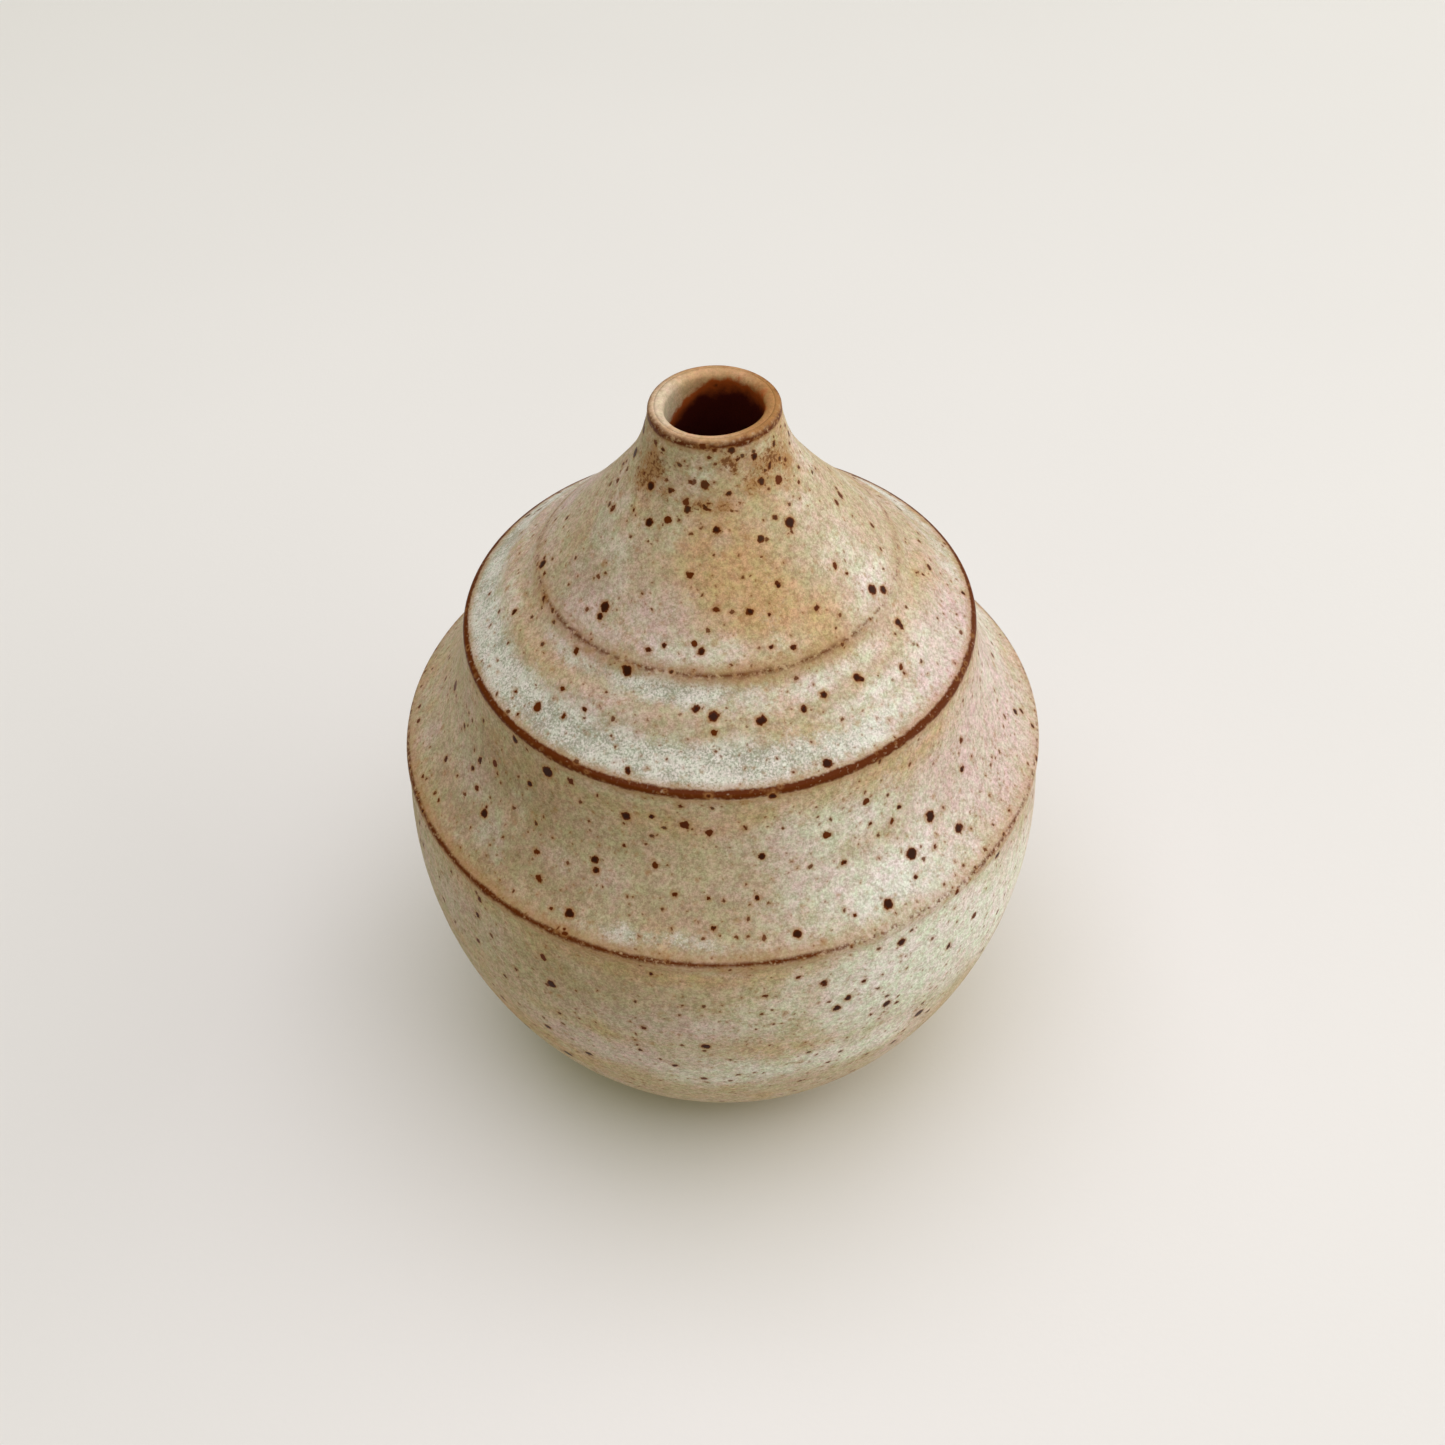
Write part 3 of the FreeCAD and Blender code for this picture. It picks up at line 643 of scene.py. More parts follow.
class Recipe:
    """Adds nodes to a shader tree. Each method returns the new node's output."""

    def __init__(self, tree):
        self.tree = tree

    def node(self, kind, inputs, output=0, **settings):
        node = self.tree.nodes.new(kind)
        for key, value in settings.items():
            setattr(node, key, value)
        for key, value in inputs.items():
            self.feed(node.inputs[key], value)
        return node if output is None else node.outputs[output]

    def feed(self, socket, value):
        """Links another node's output to the socket, or sets its plain value."""
        if isinstance(value, bpy.types.NodeSocket):
            self.tree.links.new(value, socket)
        elif socket.type == "RGBA" and len(value) == 3:
            socket.default_value = (*value, 1.0)
        else:
            socket.default_value = value

    def math(self, operation, first, second=0.0):
        return self.node("ShaderNodeMath", {0: first, 1: second}, operation=operation)

    def times(self, first, second):
        return self.math("MULTIPLY", first, second)

    def plus(self, first, second):
        return self.math("ADD", first, second)

    def either(self, first, second):
        return self.math("MAXIMUM", first, second)

    def minus(self, first, second):
        return self.math("SUBTRACT", first, second)

    def swayed(self, value, noise, reach, middle=0.5):
        """The value moved up and down by how far the noise is from its middle, times reach."""
        return self.plus(value, self.times(self.minus(noise, middle), reach))

    def ease(self, value, low, high, to_low=0.0, to_high=1.0):
        """A smooth step of value from low to high."""
        spans = {"Value": value, "From Min": low, "From Max": high, "To Min": to_low, "To Max": to_high}
        return self.node("ShaderNodeMapRange", spans, interpolation_type="SMOOTHSTEP")

    def noise(self, where, per_mm, detail=3.0, roughness=0.55, shift=None, output=0):
        where = self.shifted(where, shift) if shift else where
        settings = {"Vector": where, "Scale": per_mm, "Detail": detail, "Roughness": roughness}
        return self.node("ShaderNodeTexNoise", settings, output=output)

    def shifted(self, where, offset):
        return self.node("ShaderNodeVectorMath", {0: where, 1: offset}, operation="ADD")

    def ruffled(self, where, per_mm, reach):
        """The place moved at random by up to about half of reach."""
        swing = self.noise(where, per_mm, detail=2.0, output=1)
        centred = self.node("ShaderNodeVectorMath", {0: swing, 1: (0.5, 0.5, 0.5)}, operation="SUBTRACT")
        moved = self.node("ShaderNodeVectorMath", {0: centred, 3: reach}, operation="SCALE")
        return self.node("ShaderNodeVectorMath", {0: where, 1: moved}, operation="ADD")

    def mix(self, factor, first, second, blend="MIX"):
        node = self.tree.nodes.new("ShaderNodeMix")
        node.data_type = "RGBA"
        node.blend_type = blend
        sockets = {socket.identifier: socket for socket in node.inputs}
        for key, value in (("Factor_Float", factor), ("A_Color", first), ("B_Color", second)):
            self.feed(sockets[key], value)
        return next(socket for socket in node.outputs if socket.identifier == "Result_Color")

    def tinted(self, first, second):
        return self.mix(1.0, first, second, blend="MULTIPLY")

    def group(self, tree, inputs):
        return self.node("ShaderNodeGroup", inputs, output=None, node_tree=tree).outputs


def new_group(name, inputs, outputs):
    """An empty shader group. Inputs and outputs are {name: socket kind or (kind, default)}."""
    tree = bpy.data.node_groups.new(name, "ShaderNodeTree")
    for key, kind in inputs.items():
        kind, default = kind if isinstance(kind, tuple) else (kind, None)
        socket = tree.interface.new_socket(key, in_out="INPUT", socket_type=f"NodeSocket{kind}")
        if default is not None:
            socket.default_value = default
    for key, kind in outputs.items():
        tree.interface.new_socket(key, in_out="OUTPUT", socket_type=f"NodeSocket{kind}")
    entry = tree.nodes.new("NodeGroupInput")
    leave = tree.nodes.new("NodeGroupOutput")
    return Recipe(tree), entry.outputs, leave.inputs


def hand_over(recipe, leave, results):
    for key, value in results.items():
        recipe.tree.links.new(value, leave[key])


SPECK_MASKS = {"Specks": "Float", "Hearts": "Float", "Halo": "Float"}


def speckle_group():
    """Iron specks: a cell pattern where a share of the cells holds one round speck of random
    size, with its outline ruffled. Gives the specks, their dark hearts and a soft halo."""
    recipe, entry, leave = new_group(
        "Iron specks",
        {
            "Where": "Vector", "Apart": ("Float", 4.0), "Radius": ("Float", 0.4),
            "Share": ("Float", 0.5), "Soft": ("Float", 0.12),
        },
        SPECK_MASKS,
    )
    per_mm = recipe.math("DIVIDE", 1.0, entry["Apart"])
    pattern = {"Vector": entry["Where"], "Scale": per_mm, "Randomness": 0.95}
    cells = recipe.node("ShaderNodeTexVoronoi", pattern, output=None)
    dice = recipe.node("ShaderNodeSeparateColor", {0: cells.outputs["Color"]}, output=None)
    size = recipe.plus(recipe.times(recipe.math("POWER", dice.outputs[0], 2.0), 0.6), 0.4)
    present = recipe.math("LESS_THAN", dice.outputs[1], entry["Share"])
    away = recipe.times(cells.outputs["Distance"], entry["Apart"])
    inside_by = recipe.minus(recipe.times(size, entry["Radius"]), away)
    speck, heart, halo = (
        recipe.ease(inside_by, recipe.times(entry["Soft"], low), recipe.times(entry["Soft"], high))
        for low, high in ((-0.5, 0.5), (0.4, 1.8), (-3.5, 0.5))
    )
    dark = recipe.times(present, recipe.ease(dice.outputs[2], 0.25, 0.6))
    hand_over(recipe, leave, {
        "Specks": recipe.times(speck, present),
        "Hearts": recipe.times(heart, dark),
        "Halo": recipe.times(halo, present),
    })
    return recipe.tree


def bold_speck_group(places):
    """The chosen specks: each point's distance to the nearest one's outline, from places in
    millimetres and radii."""
    recipe, entry, leave = new_group("Bold specks", {"Where": "Vector"}, SPECK_MASKS)
    nearest = 99.0
    for place, radius in places:
        ends = {0: entry["Where"], 1: place}
        away = recipe.node("ShaderNodeVectorMath", ends, output="Value", operation="DISTANCE")
        nearest = recipe.math("MINIMUM", recipe.minus(away, radius), nearest)
    hand_over(recipe, leave, {
        "Specks": recipe.ease(nearest, 0.07, -0.07),
        "Hearts": recipe.ease(nearest, -0.05, -0.3),
        "Halo": recipe.ease(nearest, 0.6, -0.1),
    })
    return recipe.tree


def broken_edge_group():
    """Glaze breaking over an edge: full within the width of the line and fading into a fringe,
    with the distance ruffled by noise so that the outline is uneven."""
    recipe, entry, leave = new_group(
        "Broken edge",
        {
            "Where": "Vector", "Distance": "Float", "Width": ("Float", 0.6), "Soft": ("Float", 0.3),
            "Fringe": ("Float", 1.2), "Ragged": ("Float", 0.5), "Cover": ("Float", 1.0),
        },
        {"Line": "Float", "Fringe": "Float"},
    )
    coarse = recipe.noise(entry["Where"], 0.30, detail=2.0)
    fine = recipe.noise(entry["Where"], 1.5, detail=3.0, roughness=0.6)
    uneven = recipe.plus(recipe.times(coarse, 0.7), recipe.times(fine, 0.8))
    stray = recipe.times(recipe.minus(uneven, 0.75), entry["Ragged"])
    gap = recipe.plus(recipe.math("ABSOLUTE", entry["Distance"]), stray)
    width, soft = entry["Width"], entry["Soft"]
    line = recipe.ease(gap, recipe.plus(width, soft), recipe.minus(width, soft))
    fringe = recipe.ease(gap, recipe.plus(width, entry["Fringe"]), recipe.times(width, 0.5))
    broken = recipe.ease(recipe.swayed(entry["Cover"], fine, 2.2), 0.25, 0.80)
    hand_over(recipe, leave, {
        "Line": recipe.times(line, broken),
        "Fringe": recipe.times(fringe, recipe.ease(entry["Cover"], 0.0, 0.9, 0.1, 1.0)),
    })
    return recipe.tree


def grain_group():
    """Grain of a matte glaze: a tone to multiply the colour by, brown in the dips and pale on
    the grains, and a height for bump."""
    recipe, entry, leave = new_group(
        "Glaze grain", {"Where": "Vector", "Depth": ("Float", 1.0)}, {"Tone": "Color", "Height": "Float"}
    )
    coarse = recipe.noise(entry["Where"], 0.8, detail=2.0)
    medium = recipe.noise(entry["Where"], 2.2, detail=3.0, roughness=0.65)
    fine = recipe.noise(entry["Where"], 5.0, detail=2.0, roughness=0.6, shift=(4.0, 8.0, 1.0))
    lump = recipe.noise(entry["Where"], 0.45, detail=1.0)
    close = recipe.plus(recipe.times(medium, 0.45), recipe.times(fine, 0.30))
    mixed = recipe.plus(recipe.times(coarse, 0.25), close)
    swing = recipe.times(recipe.minus(mixed, 0.5), entry["Depth"])
    tone = recipe.mix(recipe.ease(swing, -0.16, 0.16), (0.66, 0.61, 0.54), (1.30, 1.32, 1.34))
    hue = recipe.noise(entry["Where"], 0.75, detail=4.0, roughness=0.7, shift=(60.0, 2.0, 9.0))
    hue = recipe.mix(recipe.ease(hue, 0.36, 0.64), (0.96, 1.03, 0.94), (1.07, 0.97, 1.02))
    tone = recipe.tinted(tone, hue)
    height = recipe.plus(lump, recipe.plus(recipe.times(medium, 0.5), recipe.times(fine, 0.2)))
    hand_over(recipe, leave, {"Tone": tone, "Height": height})
    return recipe.tree


def glaze_group(looks, marks, groups):
    """All colours of the speckled glaze, for the outside and for where it runs over the lip."""
    recipe, entry, leave = new_group(
        "Speckled glaze",
        {"Where": "Vector", "Way": "Float"} | {name: "Float" for name in TINTS},
        {"Colour": "Color", "Roughness": "Float", "Height": "Float"},
    )
    where = entry["Where"]
    blotch = recipe.noise(where, 0.22, detail=4.0, roughness=0.6, shift=(31.0, 7.0, 13.0))
    crumb = recipe.noise(where, 2.4, detail=3.0, roughness=0.7, shift=(5.0, 41.0, 3.0))
    wobble = recipe.plus(recipe.times(blotch, 0.8), recipe.times(crumb, 0.4))

    def patch(name, softness, drift=1.2):
        """A tint's mask, its outline broken by the blotches and the crumbs."""
        level = recipe.swayed(entry[name], wobble, drift, 0.6)
        return recipe.ease(level, 0.5 - softness, 0.5 + softness)

    def cloud(shift, low, high, most):
        """Large soft clouds of a tint."""
        return recipe.ease(recipe.noise(where, 0.075, detail=3.0, shift=shift), low, high, 0.0, most)

    tone = recipe.group(groups["grain"], {"Where": where, "Depth": 1.0})

    # the ground, from plain to each tint
    layers = [
        (recipe.either(cloud((0.0, 0.0, 0.0), 0.52, 0.68, 0.5), patch("tan", 0.45)), looks.tan),
        (recipe.either(cloud((9.0, 2.0, 77.0), 0.54, 0.70, 0.5), patch("lilac", 0.40)), looks.lilac),
        # The darker patches, partly painted shade low on the front left under the ledge.
        (patch("darker_glaze_and_shade", 0.5), looks.darker_glaze_and_shade),
        (recipe.either(cloud((50.0, 22.0, 7.0), 0.56, 0.72, 0.4), patch("milk", 0.45)), looks.milk),
    ]
    colour_now = looks.body
    for mask, tint_colour in layers:
        colour_now = recipe.mix(recipe.times(mask, 0.92), colour_now, tint_colour)
    drift = recipe.noise(where, 0.21, detail=3.0, roughness=0.6, shift=(61.0, 4.0, 19.0))
    drift = recipe.mix(recipe.ease(drift, 0.40, 0.60), (0.985, 1.010, 0.965), (1.022, 0.990, 1.015))
    colour_now = recipe.tinted(colour_now, drift)
    colour_now = recipe.tinted(colour_now, tone["Tone"])

    # pools: pale crystals on a cool ground
    pool = patch("chalk", 0.35, drift=1.6)
    salt = recipe.noise(where, 3.2, detail=3.0, roughness=0.75, shift=(2.0, 12.0, 40.0))
    salt = recipe.swayed(salt, blotch, 0.60)
    salt = recipe.mix(recipe.ease(salt, 0.38, 0.59), looks.sage, looks.chalk)
    salt = recipe.mix(0.5, salt, recipe.tinted(salt, tone["Tone"]))
    colour_now = recipe.mix(recipe.times(pool, 0.88), colour_now, salt)

    # the crest of the lip
    crest = recipe.mix(patch("cream", 0.4), looks.crest, looks.cream)
    crest = recipe.mix(recipe.times(patch("ember", 0.5), 0.85), crest, looks.toast)
    crest = recipe.mix(0.6, crest, recipe.tinted(crest, tone["Tone"]))
    on_crest = recipe.ease(recipe.swayed(entry["Way"], crumb, 1.2), -0.75, -0.35)
    colour_now = recipe.mix(on_crest, colour_now, crest)

    # edges, where the glaze is thin and the iron of the clay comes through
    edges = [
        # place, distance to its middle, width, soft, fringe, ragged, cover, more cover where it bites
        ("ledge", -0.25, 0.50, 0.20, 1.5, 0.8, 0.98, 0.10),
        ("ridge", -0.5, 0.32, 0.26, 2.5, 0.9, 0.22, 0.66),
        ("high_step", -0.5, 0.36, 0.44, 2.0, 0.9, 0.33, 0.42),
        ("lip", 0.34, 0.40, 0.24, 1.1, 0.9, 0.70, 0.25),
    ]
    lines, fringes = 0.0, 0.0
    for name, offset, width, soft, fringe, ragged, cover, bite in edges:
        middle = (marks[name] - marks["seam"]) / MM - offset
        broken = recipe.group(groups["edge"], {
            "Where": where, "Distance": recipe.minus(entry["Way"], middle), "Width": width,
            "Soft": soft, "Fringe": fringe, "Ragged": ragged,
            "Cover": recipe.plus(cover, recipe.times(entry["bite"], bite)),
        })
        lines = recipe.either(broken["Line"], lines)
        fringes = recipe.either(broken["Fringe"], fringes)
    smear = patch("smear", 0.3, drift=2.2)
    colour_now = recipe.mix(recipe.times(fringes, 0.60), colour_now, looks.toast)
    colour_now = recipe.mix(recipe.times(smear, 0.75), colour_now, looks.toast)
    burnt = recipe.swayed(entry["smear"], crumb, 2.6)
    colour_now = recipe.mix(recipe.times(recipe.ease(burnt, 0.60, 0.95), 0.75), colour_now, looks.rust)
    colour_now = recipe.mix(lines, colour_now, looks.rust)

    # specks of several sizes, more of them near the mouth
    rough_where = recipe.ruffled(recipe.ruffled(where, 1.0, 0.8), 2.8, 0.3)
    below_crest = recipe.ease(entry["Way"], -0.3, -1.3)
    near_mouth = recipe.times(recipe.ease(entry["Way"], -19.0, -4.0), below_crest)
    bold = recipe.group(groups["bold"], {"Where": rough_where})
    specks, hearts, halos = bold["Specks"], bold["Hearts"], bold["Halo"]
    layers = [
        # apart, radius, share, more near the mouth, soft, shift, strength
        (4.8, 0.90, 0.40, 0.2, 0.16, (0.0, 0.0, 0.0), 1.0),
        (2.8, 0.66, 0.40, 0.25, 0.14, (17.0, 3.0, 29.0), 1.0),
        (1.9, 0.80, 0.00, 0.6, 0.14, (7.0, 13.0, 9.0), 0.95),
        (1.6, 0.38, 0.34, 0.3, 0.12, (3.0, 23.0, 11.0), 0.85),
        (0.85, 0.19, 0.35, 0.2, 0.10, (1.0, 3.0, 15.0), 0.55),
    ]
    for apart, radius, part, more, soft, shift, strength in layers:
        present = recipe.plus(recipe.times(below_crest, part), recipe.times(near_mouth, more))
        scatter = recipe.group(groups["speckle"], {
            "Where": recipe.shifted(rough_where, shift), "Apart": apart, "Radius": radius,
            "Share": present, "Soft": soft,
        })
        specks = recipe.either(recipe.times(scatter["Specks"], strength), specks)
        hearts = recipe.either(scatter["Hearts"], hearts)
        halos = recipe.either(recipe.times(scatter["Halo"], strength * 0.8), halos)
    speck_colour = recipe.mix(hearts, looks.rust, looks.iron)
    colour_now = recipe.mix(recipe.times(halos, 0.75), colour_now, looks.toast)
    colour_now = recipe.mix(specks, colour_now, speck_colour)

    rough = recipe.swayed(0.56, crumb, 0.25)
    rough = recipe.minus(rough, recipe.times(recipe.either(specks, lines), 0.16))
    height = recipe.plus(tone["Height"], recipe.times(hearts, 0.5))
    height = recipe.minus(height, recipe.times(lines, 0.3))
    hand_over(recipe, leave, {"Colour": colour_now, "Roughness": rough, "Height": height})
    return recipe.tree


def in_millimetres(recipe):
    """Object coordinates, counted in millimetres."""
    place = recipe.node("ShaderNodeTexCoord", {}, output="Object")
    return recipe.node("ShaderNodeMapping", {"Vector": place, "Scale": (1 / MM,) * 3})


def attribute(recipe, name):
    return recipe.node("ShaderNodeAttribute", {}, output="Fac", attribute_name=name)


def finish_material(name, recipe_maker, bump, shine):
    """A material with one Principled shader. recipe_maker returns its colour, roughness and
    height; bump is how far a height of one stands out, and shine is how much it reflects."""
    material = bpy.data.materials.new(name)
    material.use_nodes = True
    material.node_tree.nodes.clear()
    recipe = Recipe(material.node_tree)
    colour_out, rough, height = recipe_maker(recipe)
    relief = {"Strength": 1.0, "Distance": bump, "Height": height}
    normal = recipe.node("ShaderNodeBump", relief, output="Normal")
    shader = recipe.node(
        "ShaderNodeBsdfPrincipled",
        {"Base Color": colour_out, "Roughness": rough, "Normal": normal, "Specular IOR Level": shine},
        output="BSDF",
    )
    recipe.node("ShaderNodeOutputMaterial", {"Surface": shader}, output=None)
    return material


def shared_groups(shape):
    """The groups that the glazes share, built once."""
    makers = {
        "speckle": ("Iron specks", speckle_group),
        "bold": ("Bold specks", lambda: bold_speck_group(bold_places(shape))),
        "edge": ("Broken edge", broken_edge_group),
        "grain": ("Glaze grain", grain_group),
    }
    return {key: bpy.data.node_groups.get(name) or build() for key, (name, build) in makers.items()}


def bold_places(shape):
    """Where the chosen specks lie on the glaze, in millimetres, with their radii."""
    profile = whole_section(shape)
    angle, level, size = np.array(BOLD_SPECKS).T
    rising = len(outside(shape)["point"])
    way = np.interp(level * MM, profile["points"][:rising, 1], profile["way"][:rising])
    radius, height, out_r, out_z = at_way(profile, way)
    radius, height = radius + shape.coat * out_r, height + shape.coat * out_z
    spots = set_on_wheel(shape, radius, height, np.radians(angle), 0.0)
    return [(tuple(spot), reach) for spot, reach in zip((spots / MM).tolist(), size.tolist())]


def speckled_glaze(shape, looks, marks):
    return bpy.data.node_groups.get("Speckled glaze") or glaze_group(looks, marks, shared_groups(shape))


def glaze_inputs(recipe, where):
    tints = {name: attribute(recipe, name) for name in TINTS}
    return {"Where": where, "Way": attribute(recipe, "way")} | tints


def outer_glaze_material(shape, looks, marks):
    def recipe_maker(recipe):
        where = in_millimetres(recipe)
        glaze = recipe.group(speckled_glaze(shape, looks, marks), glaze_inputs(recipe, where))
        return glaze["Colour"], glaze["Roughness"], glaze["Height"]
    return finish_material("Speckled glaze", recipe_maker, 0.05 * MM, 0.05)


def liner_glaze_material(shape, looks, marks):
    """The speckled glaze where it runs over the lip, and the red-brown liner below it."""
    def recipe_maker(recipe):
        where = in_millimetres(recipe)
        glaze = recipe.group(speckled_glaze(shape, looks, marks), glaze_inputs(recipe, where))
        depth = attribute(recipe, "way")
        overrun = attribute(recipe, "overrun")
        blotch = recipe.noise(where, 0.5, detail=3.0)
        reach = recipe.swayed(recipe.minus(overrun, depth), blotch, 3.2)
        covered = recipe.ease(reach, -0.45, 0.45)
        thin = recipe.ease(reach, -2.8, -0.1)
        spots = recipe.group(shared_groups(shape)["speckle"], {
            "Where": recipe.ruffled(where, 1.1, 0.6),
            "Apart": 2.2, "Radius": 0.7, "Share": 0.4, "Soft": 0.3,
        })
        liner = recipe.mix(thin, looks.liner, looks.liner_edge)
        liner = recipe.mix(recipe.times(blotch, 0.35), liner, looks.rust)
        liner = recipe.mix(recipe.times(spots["Specks"], 0.8), liner, looks.iron)
        rough = recipe.plus(0.30, recipe.times(covered, 0.25))
        return recipe.mix(covered, liner, glaze["Colour"]), rough, glaze["Height"]
    return finish_material("Liner glaze", recipe_maker, 0.04 * MM, 0.10)


def clay_material(shape, looks):
    def recipe_maker(recipe):
        where = in_millimetres(recipe)
        grain = recipe.group(shared_groups(shape)["grain"], {"Where": where, "Depth": 0.8})
        specks = recipe.group(shared_groups(shape)["speckle"], {
            "Where": recipe.ruffled(where, 1.5, 0.3),
            "Apart": 1.8, "Radius": 0.36, "Share": 0.5, "Soft": 0.12,
        })
        toasted = attribute(recipe, "toasted")
        colour_now = recipe.mix(toasted, looks.clay, looks.toasted_clay)
        colour_now = recipe.tinted(colour_now, grain["Tone"])
        colour_now = recipe.mix(recipe.times(specks["Specks"], 0.85), colour_now, looks.iron)
        rough = recipe.plus(0.72, recipe.times(recipe.noise(where, 1.5), 0.15))
        return colour_now, rough, recipe.plus(recipe.times(grain["Height"], 1.6), specks["Specks"])
    return finish_material("Bare clay", recipe_maker, 0.06 * MM, 0.1)


# ---------------------------------------------------------------- operators

OUTER_COLUMNS = 360
LINER_COLUMNS = 240
CLAY_COLUMNS = 180
FLOOR_HALF = 0.8
FLOOR_ROUGHNESS = 0.9
TOP_LAMP_PLACE = (0.0, 0.0, 1.4)
SIDE_LAMP_AWAY = 1.3
CAMERA_PLACE = (0.0, -0.18219, 0.24780)
CAMERA_TILT = 44.02  # degrees up from straight down
CAMERA_ROLL = -1.196  # degrees


class BUDVASE_OT_clay_body(bpy.types.Operator):
    """Throw the clay pot with its turned foot"""

    bl_idname = "bud_vase.clay_body"
    bl_label = "Throw Clay Body"

    def execute(self, context):
        shape, looks = context.scene.vase_shape, context.scene.vase_glaze
        profile = whole_section(shape)
        foot = underside(shape)
        points = np.concatenate([foot["point"], profile["points"]])
        angle = around_pot(CLAY_COLUMNS)
        radius, height = points[:, :1], points[:, 1:]
        grid = set_on_wheel(shape, *np.broadcast_arrays(radius, height, angle), 0.0)
        toasted = eased(height, 1.5 * MM, 6 * MM) * np.ones_like(angle)
        material = clay_material(shape, looks)
        make_piece("clay_pot", grid, True, {"toasted": toasted}, "clay_body", material)
        return {"FINISHED"}


class BUDVASE_OT_outer_glaze(bpy.types.Operator):
    """Dip the outside in the speckled glaze"""

    bl_idname = "bud_vase.outer_glaze"
    bl_label = "Dip Outer Glaze"

    def execute(self, context):
        shape, looks = context.scene.vase_shape, context.scene.vase_glaze
        profile = whole_section(shape)
        marks = profile["marks"]
        line, seam = marks["glaze_line"], marks["seam"]
        between = (profile["way"] > line + 1.2 * MM) & (profile["way"] < seam)
        rim = line + np.array([0.0, 0.03, 0.1, 0.22, 0.4, 0.65, 0.95]) * MM
        way = np.concatenate([rim, profile["way"][between], [seam]])
        under_way = np.concatenate([[seam], profile["way"][between][::-6]])
        angle = around_pot(OUTER_COLUMNS)
        grid, attributes = coat_of_glaze(shape, way, under_way, angle, shape.wander)
        material = outer_glaze_material(shape, looks, marks)
        make_piece("speckled_coat", grid, False, attributes, "outer_glaze", material)
        return {"FINISHED"}


class BUDVASE_OT_liner_glaze(bpy.types.Operator):
    """Pour the liner glaze inside"""

    bl_idname = "bud_vase.liner_glaze"
    bl_label = "Pour Liner Glaze"

    def execute(self, context):
        shape, looks = context.scene.vase_shape, context.scene.vase_glaze
        profile = whole_section(shape)
        marks = profile["marks"]
        within = profile["way"] > marks["seam"]
        way = np.concatenate([[marks["seam"]], profile["way"][within]])
        under_way = np.concatenate([[marks["end"]], profile["way"][within][-2::-4], [marks["seam"]]])
        angle = around_pot(LINER_COLUMNS)
        grid, attributes = coat_of_glaze(shape, way, under_way, angle, 0.0)
        grid = np.roll(grid, len(under_way), axis=0)
        attributes = {key: np.roll(row, len(under_way), axis=0) for key, row in attributes.items()}
        attributes["overrun"] = 1.1 + 3.8 * round_bell(angle, -112, 30)
        material = liner_glaze_material(shape, looks, marks)
        make_piece("liner_coat", grid, True, attributes, "liner_glaze", material)
        return {"FINISHED"}


class BUDVASE_OT_stage(bpy.types.Operator):
    """Set the floor, the light and the camera"""

    bl_idname = "bud_vase.stage"
    bl_label = "Set Stage"

    def execute(self, context):
        stage = context.scene.vase_stage
        make_floor(stage)
        make_lights(stage)
        make_camera(stage)
        return {"FINISHED"}


def make_floor(stage):
    """A flat square of paper, one face, with a faint unevenness in its colour."""
    mesh = bpy.data.meshes.new("paper_floor")
    corners = FLOOR_HALF * np.array([[-1, -1, 0], [1, -1, 0], [1, 1, 0], [-1, 1, 0]])
    mesh.from_pydata(corners, [], [[0, 1, 2, 3]])

    def recipe_maker(recipe):
        where = in_millimetres(recipe)
        soft = recipe.noise(where, 0.006, detail=2.0)
        shade = recipe.ease(soft, 0.3, 0.7, 0.985, 1.0)
        grey = recipe.node("ShaderNodeCombineColor", {0: shade, 1: shade, 2: shade})
        tone = recipe.tinted(stage.floor, grey)
        tooth = recipe.noise(where, 1.2, detail=3.0)
        return tone, FLOOR_ROUGHNESS, tooth

    mesh.materials.append(finish_material("Floor paper", recipe_maker, 0.02 * MM, 0.3))
    floor = bpy.data.objects.new("paper_floor", mesh)
    bpy.context.scene.collection.objects.link(floor)


def make_fill(stage):
    """Weak even light from all round, which the camera sees as a pale backdrop."""
    world = bpy.data.worlds.new("Soft surroundings")
    world.use_nodes = True
    world.node_tree.nodes.clear()
    recipe = Recipe(world.node_tree)
    fill = recipe.node("ShaderNodeBackground", {"Color": stage.fill, "Strength": stage.fill_strength})
    seen = recipe.node("ShaderNodeBackground", {"Color": stage.backdrop, "Strength": 1.0})
    to_camera = recipe.node("ShaderNodeLightPath", {}, output="Is Camera Ray")
    both = recipe.node("ShaderNodeMixShader", {0: to_camera, 1: fill, 2: seen})
    recipe.node("ShaderNodeOutputWorld", {"Surface": both}, output=None)
    bpy.context.scene.world = world


def make_lamp(name, tint_colour, power, width, height, place, aim):
    """A soft rectangular lamp at place that faces aim."""
    data = bpy.data.lights.new(name, "AREA")
    data.shape = "RECTANGLE"
    data.size, data.size_y = width, height
    data.energy = power
    data.color = tint_colour
    lamp = bpy.data.objects.new(name, data)
    lamp.location = place
    lamp.rotation_mode = "QUATERNION"
    lamp.rotation_quaternion = (Vector(aim) - lamp.location).to_track_quat("-Z", "Y")
    lamp.visible_camera = False
    bpy.context.scene.collection.objects.link(lamp)


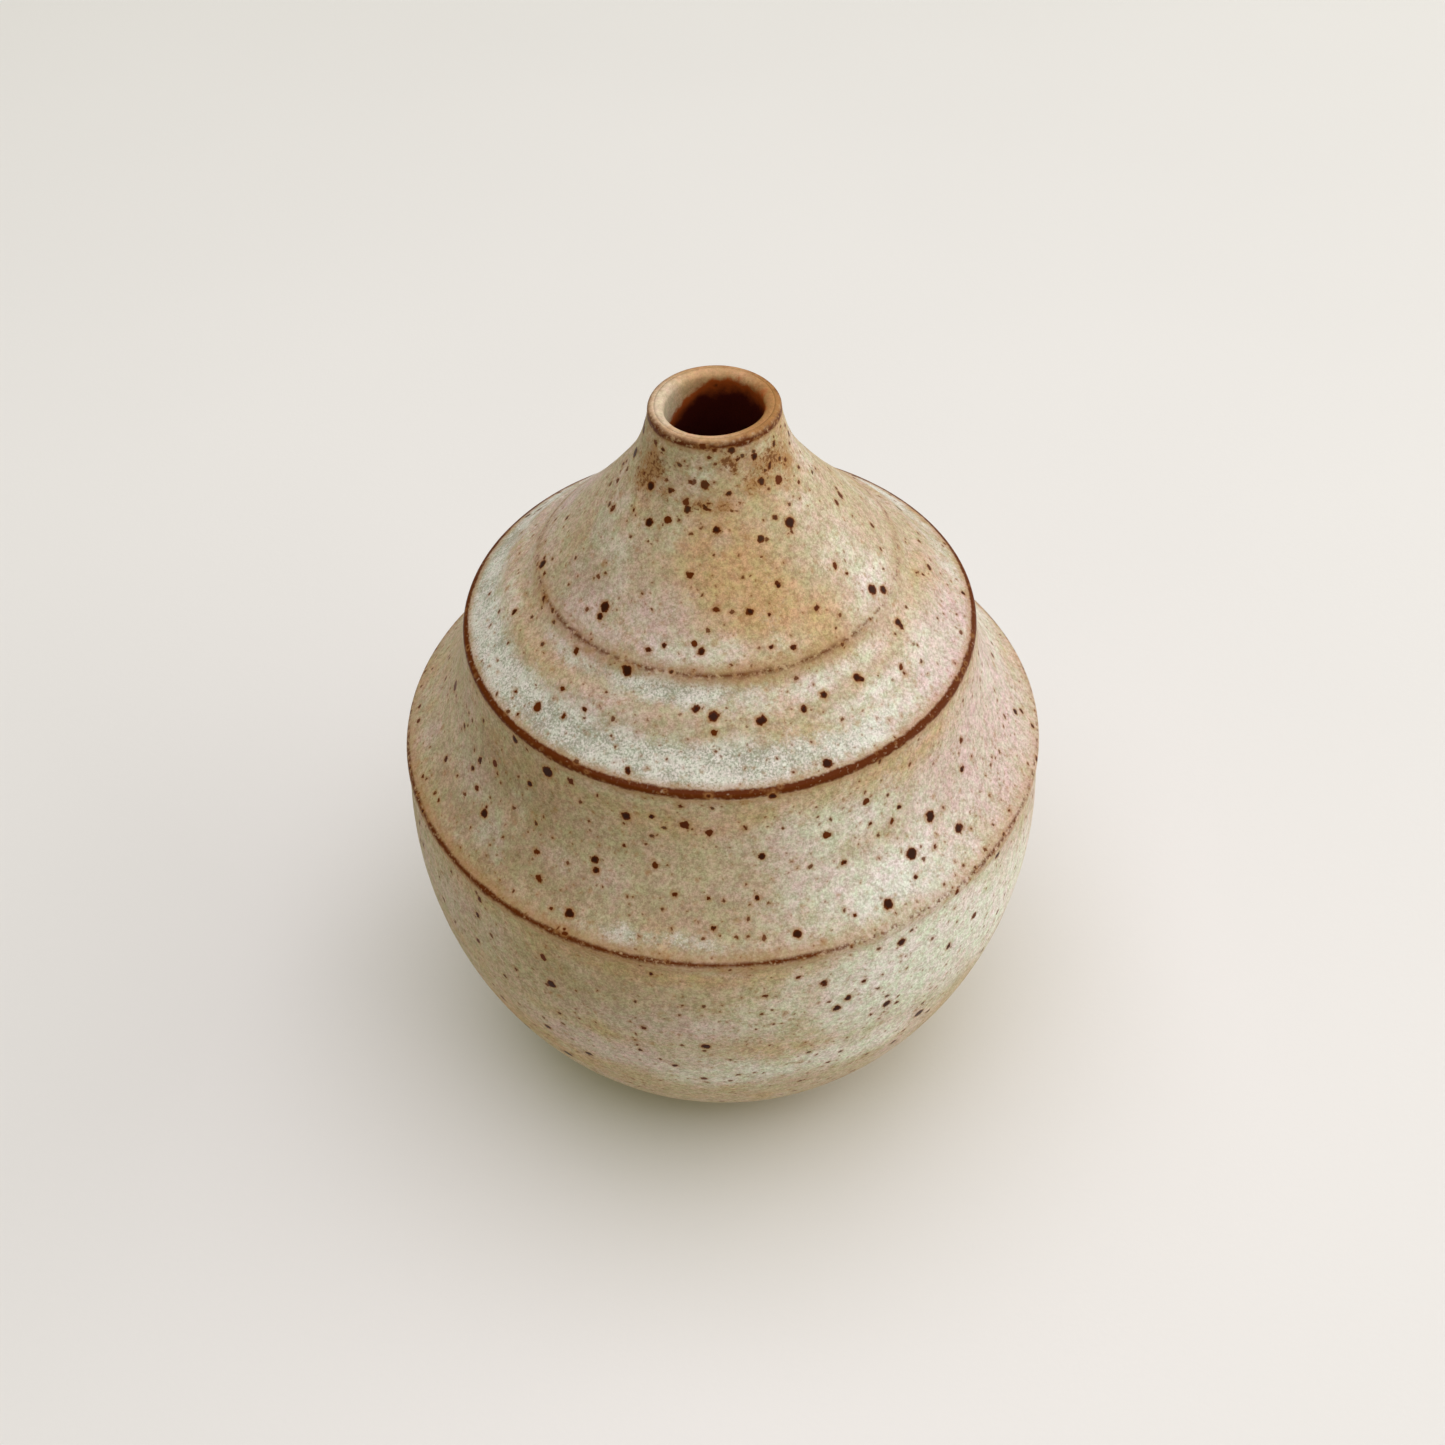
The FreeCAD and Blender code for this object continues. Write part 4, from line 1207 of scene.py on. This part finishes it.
def make_lights(stage):
    """A weak fill, a large lamp overhead and a tall wide panel on the right."""
    make_fill(stage)
    make_lamp("Top lamp", stage.top_lamp, stage.top_power, stage.top_size, stage.top_size,
              TOP_LAMP_PLACE, (0.0, 0.0, 0.0))
    middle = stage.side_height / 2
    make_lamp("Side lamp", stage.side_lamp, stage.side_power, stage.side_width, stage.side_height,
              (SIDE_LAMP_AWAY, 0.0, middle), (0.0, 0.0, middle))


def make_camera(stage):
    """A camera in front and above, tilted down at the vase and rolled a little."""
    data = bpy.data.cameras.new("Camera")
    data.lens = stage.lens
    camera = bpy.data.objects.new("Camera", data)
    camera.location = CAMERA_PLACE
    camera.rotation_euler = (math.radians(CAMERA_TILT), 0.0, 0.0)
    camera.rotation_euler.rotate_axis("Z", math.radians(CAMERA_ROLL))
    bpy.context.scene.collection.objects.link(camera)
    bpy.context.scene.camera = camera
    bpy.context.scene.view_settings.view_transform = "Standard"


class BUDVASE_PT_panel(bpy.types.Panel):
    """Lists the vase's operators, sizes and colours"""

    bl_idname = "BUDVASE_PT_panel"
    bl_label = "Bud Vase"
    bl_space_type = "VIEW_3D"
    bl_region_type = "UI"
    bl_category = "Bud Vase"

    def draw(self, context):
        for operator in OPERATORS:
            self.layout.operator(operator.bl_idname)
        for group in (context.scene.vase_shape, context.scene.vase_glaze, context.scene.vase_stage):
            box = self.layout.box()
            for key in group.__annotations__:
                box.prop(group, key)


OPERATORS = (BUDVASE_OT_clay_body, BUDVASE_OT_outer_glaze, BUDVASE_OT_liner_glaze, BUDVASE_OT_stage)
SETTINGS = {"vase_shape": VaseShape, "vase_glaze": VaseGlaze, "vase_stage": VaseStage}


def register():
    for entry in (*SETTINGS.values(), *OPERATORS, BUDVASE_PT_panel):
        bpy.utils.register_class(entry)
    for name, group in SETTINGS.items():
        setattr(bpy.types.Scene, name, bpy.props.PointerProperty(type=group))


def unregister():
    for name in SETTINGS:
        delattr(bpy.types.Scene, name)
    for entry in (BUDVASE_PT_panel, *reversed(OPERATORS), *SETTINGS.values()):
        bpy.utils.unregister_class(entry)


def main():
    register()
    bpy.ops.bud_vase.clay_body()
    bpy.ops.bud_vase.outer_glaze()
    bpy.ops.bud_vase.liner_glaze()
    bpy.ops.bud_vase.stage()


if __name__ == "__main__":
    main()
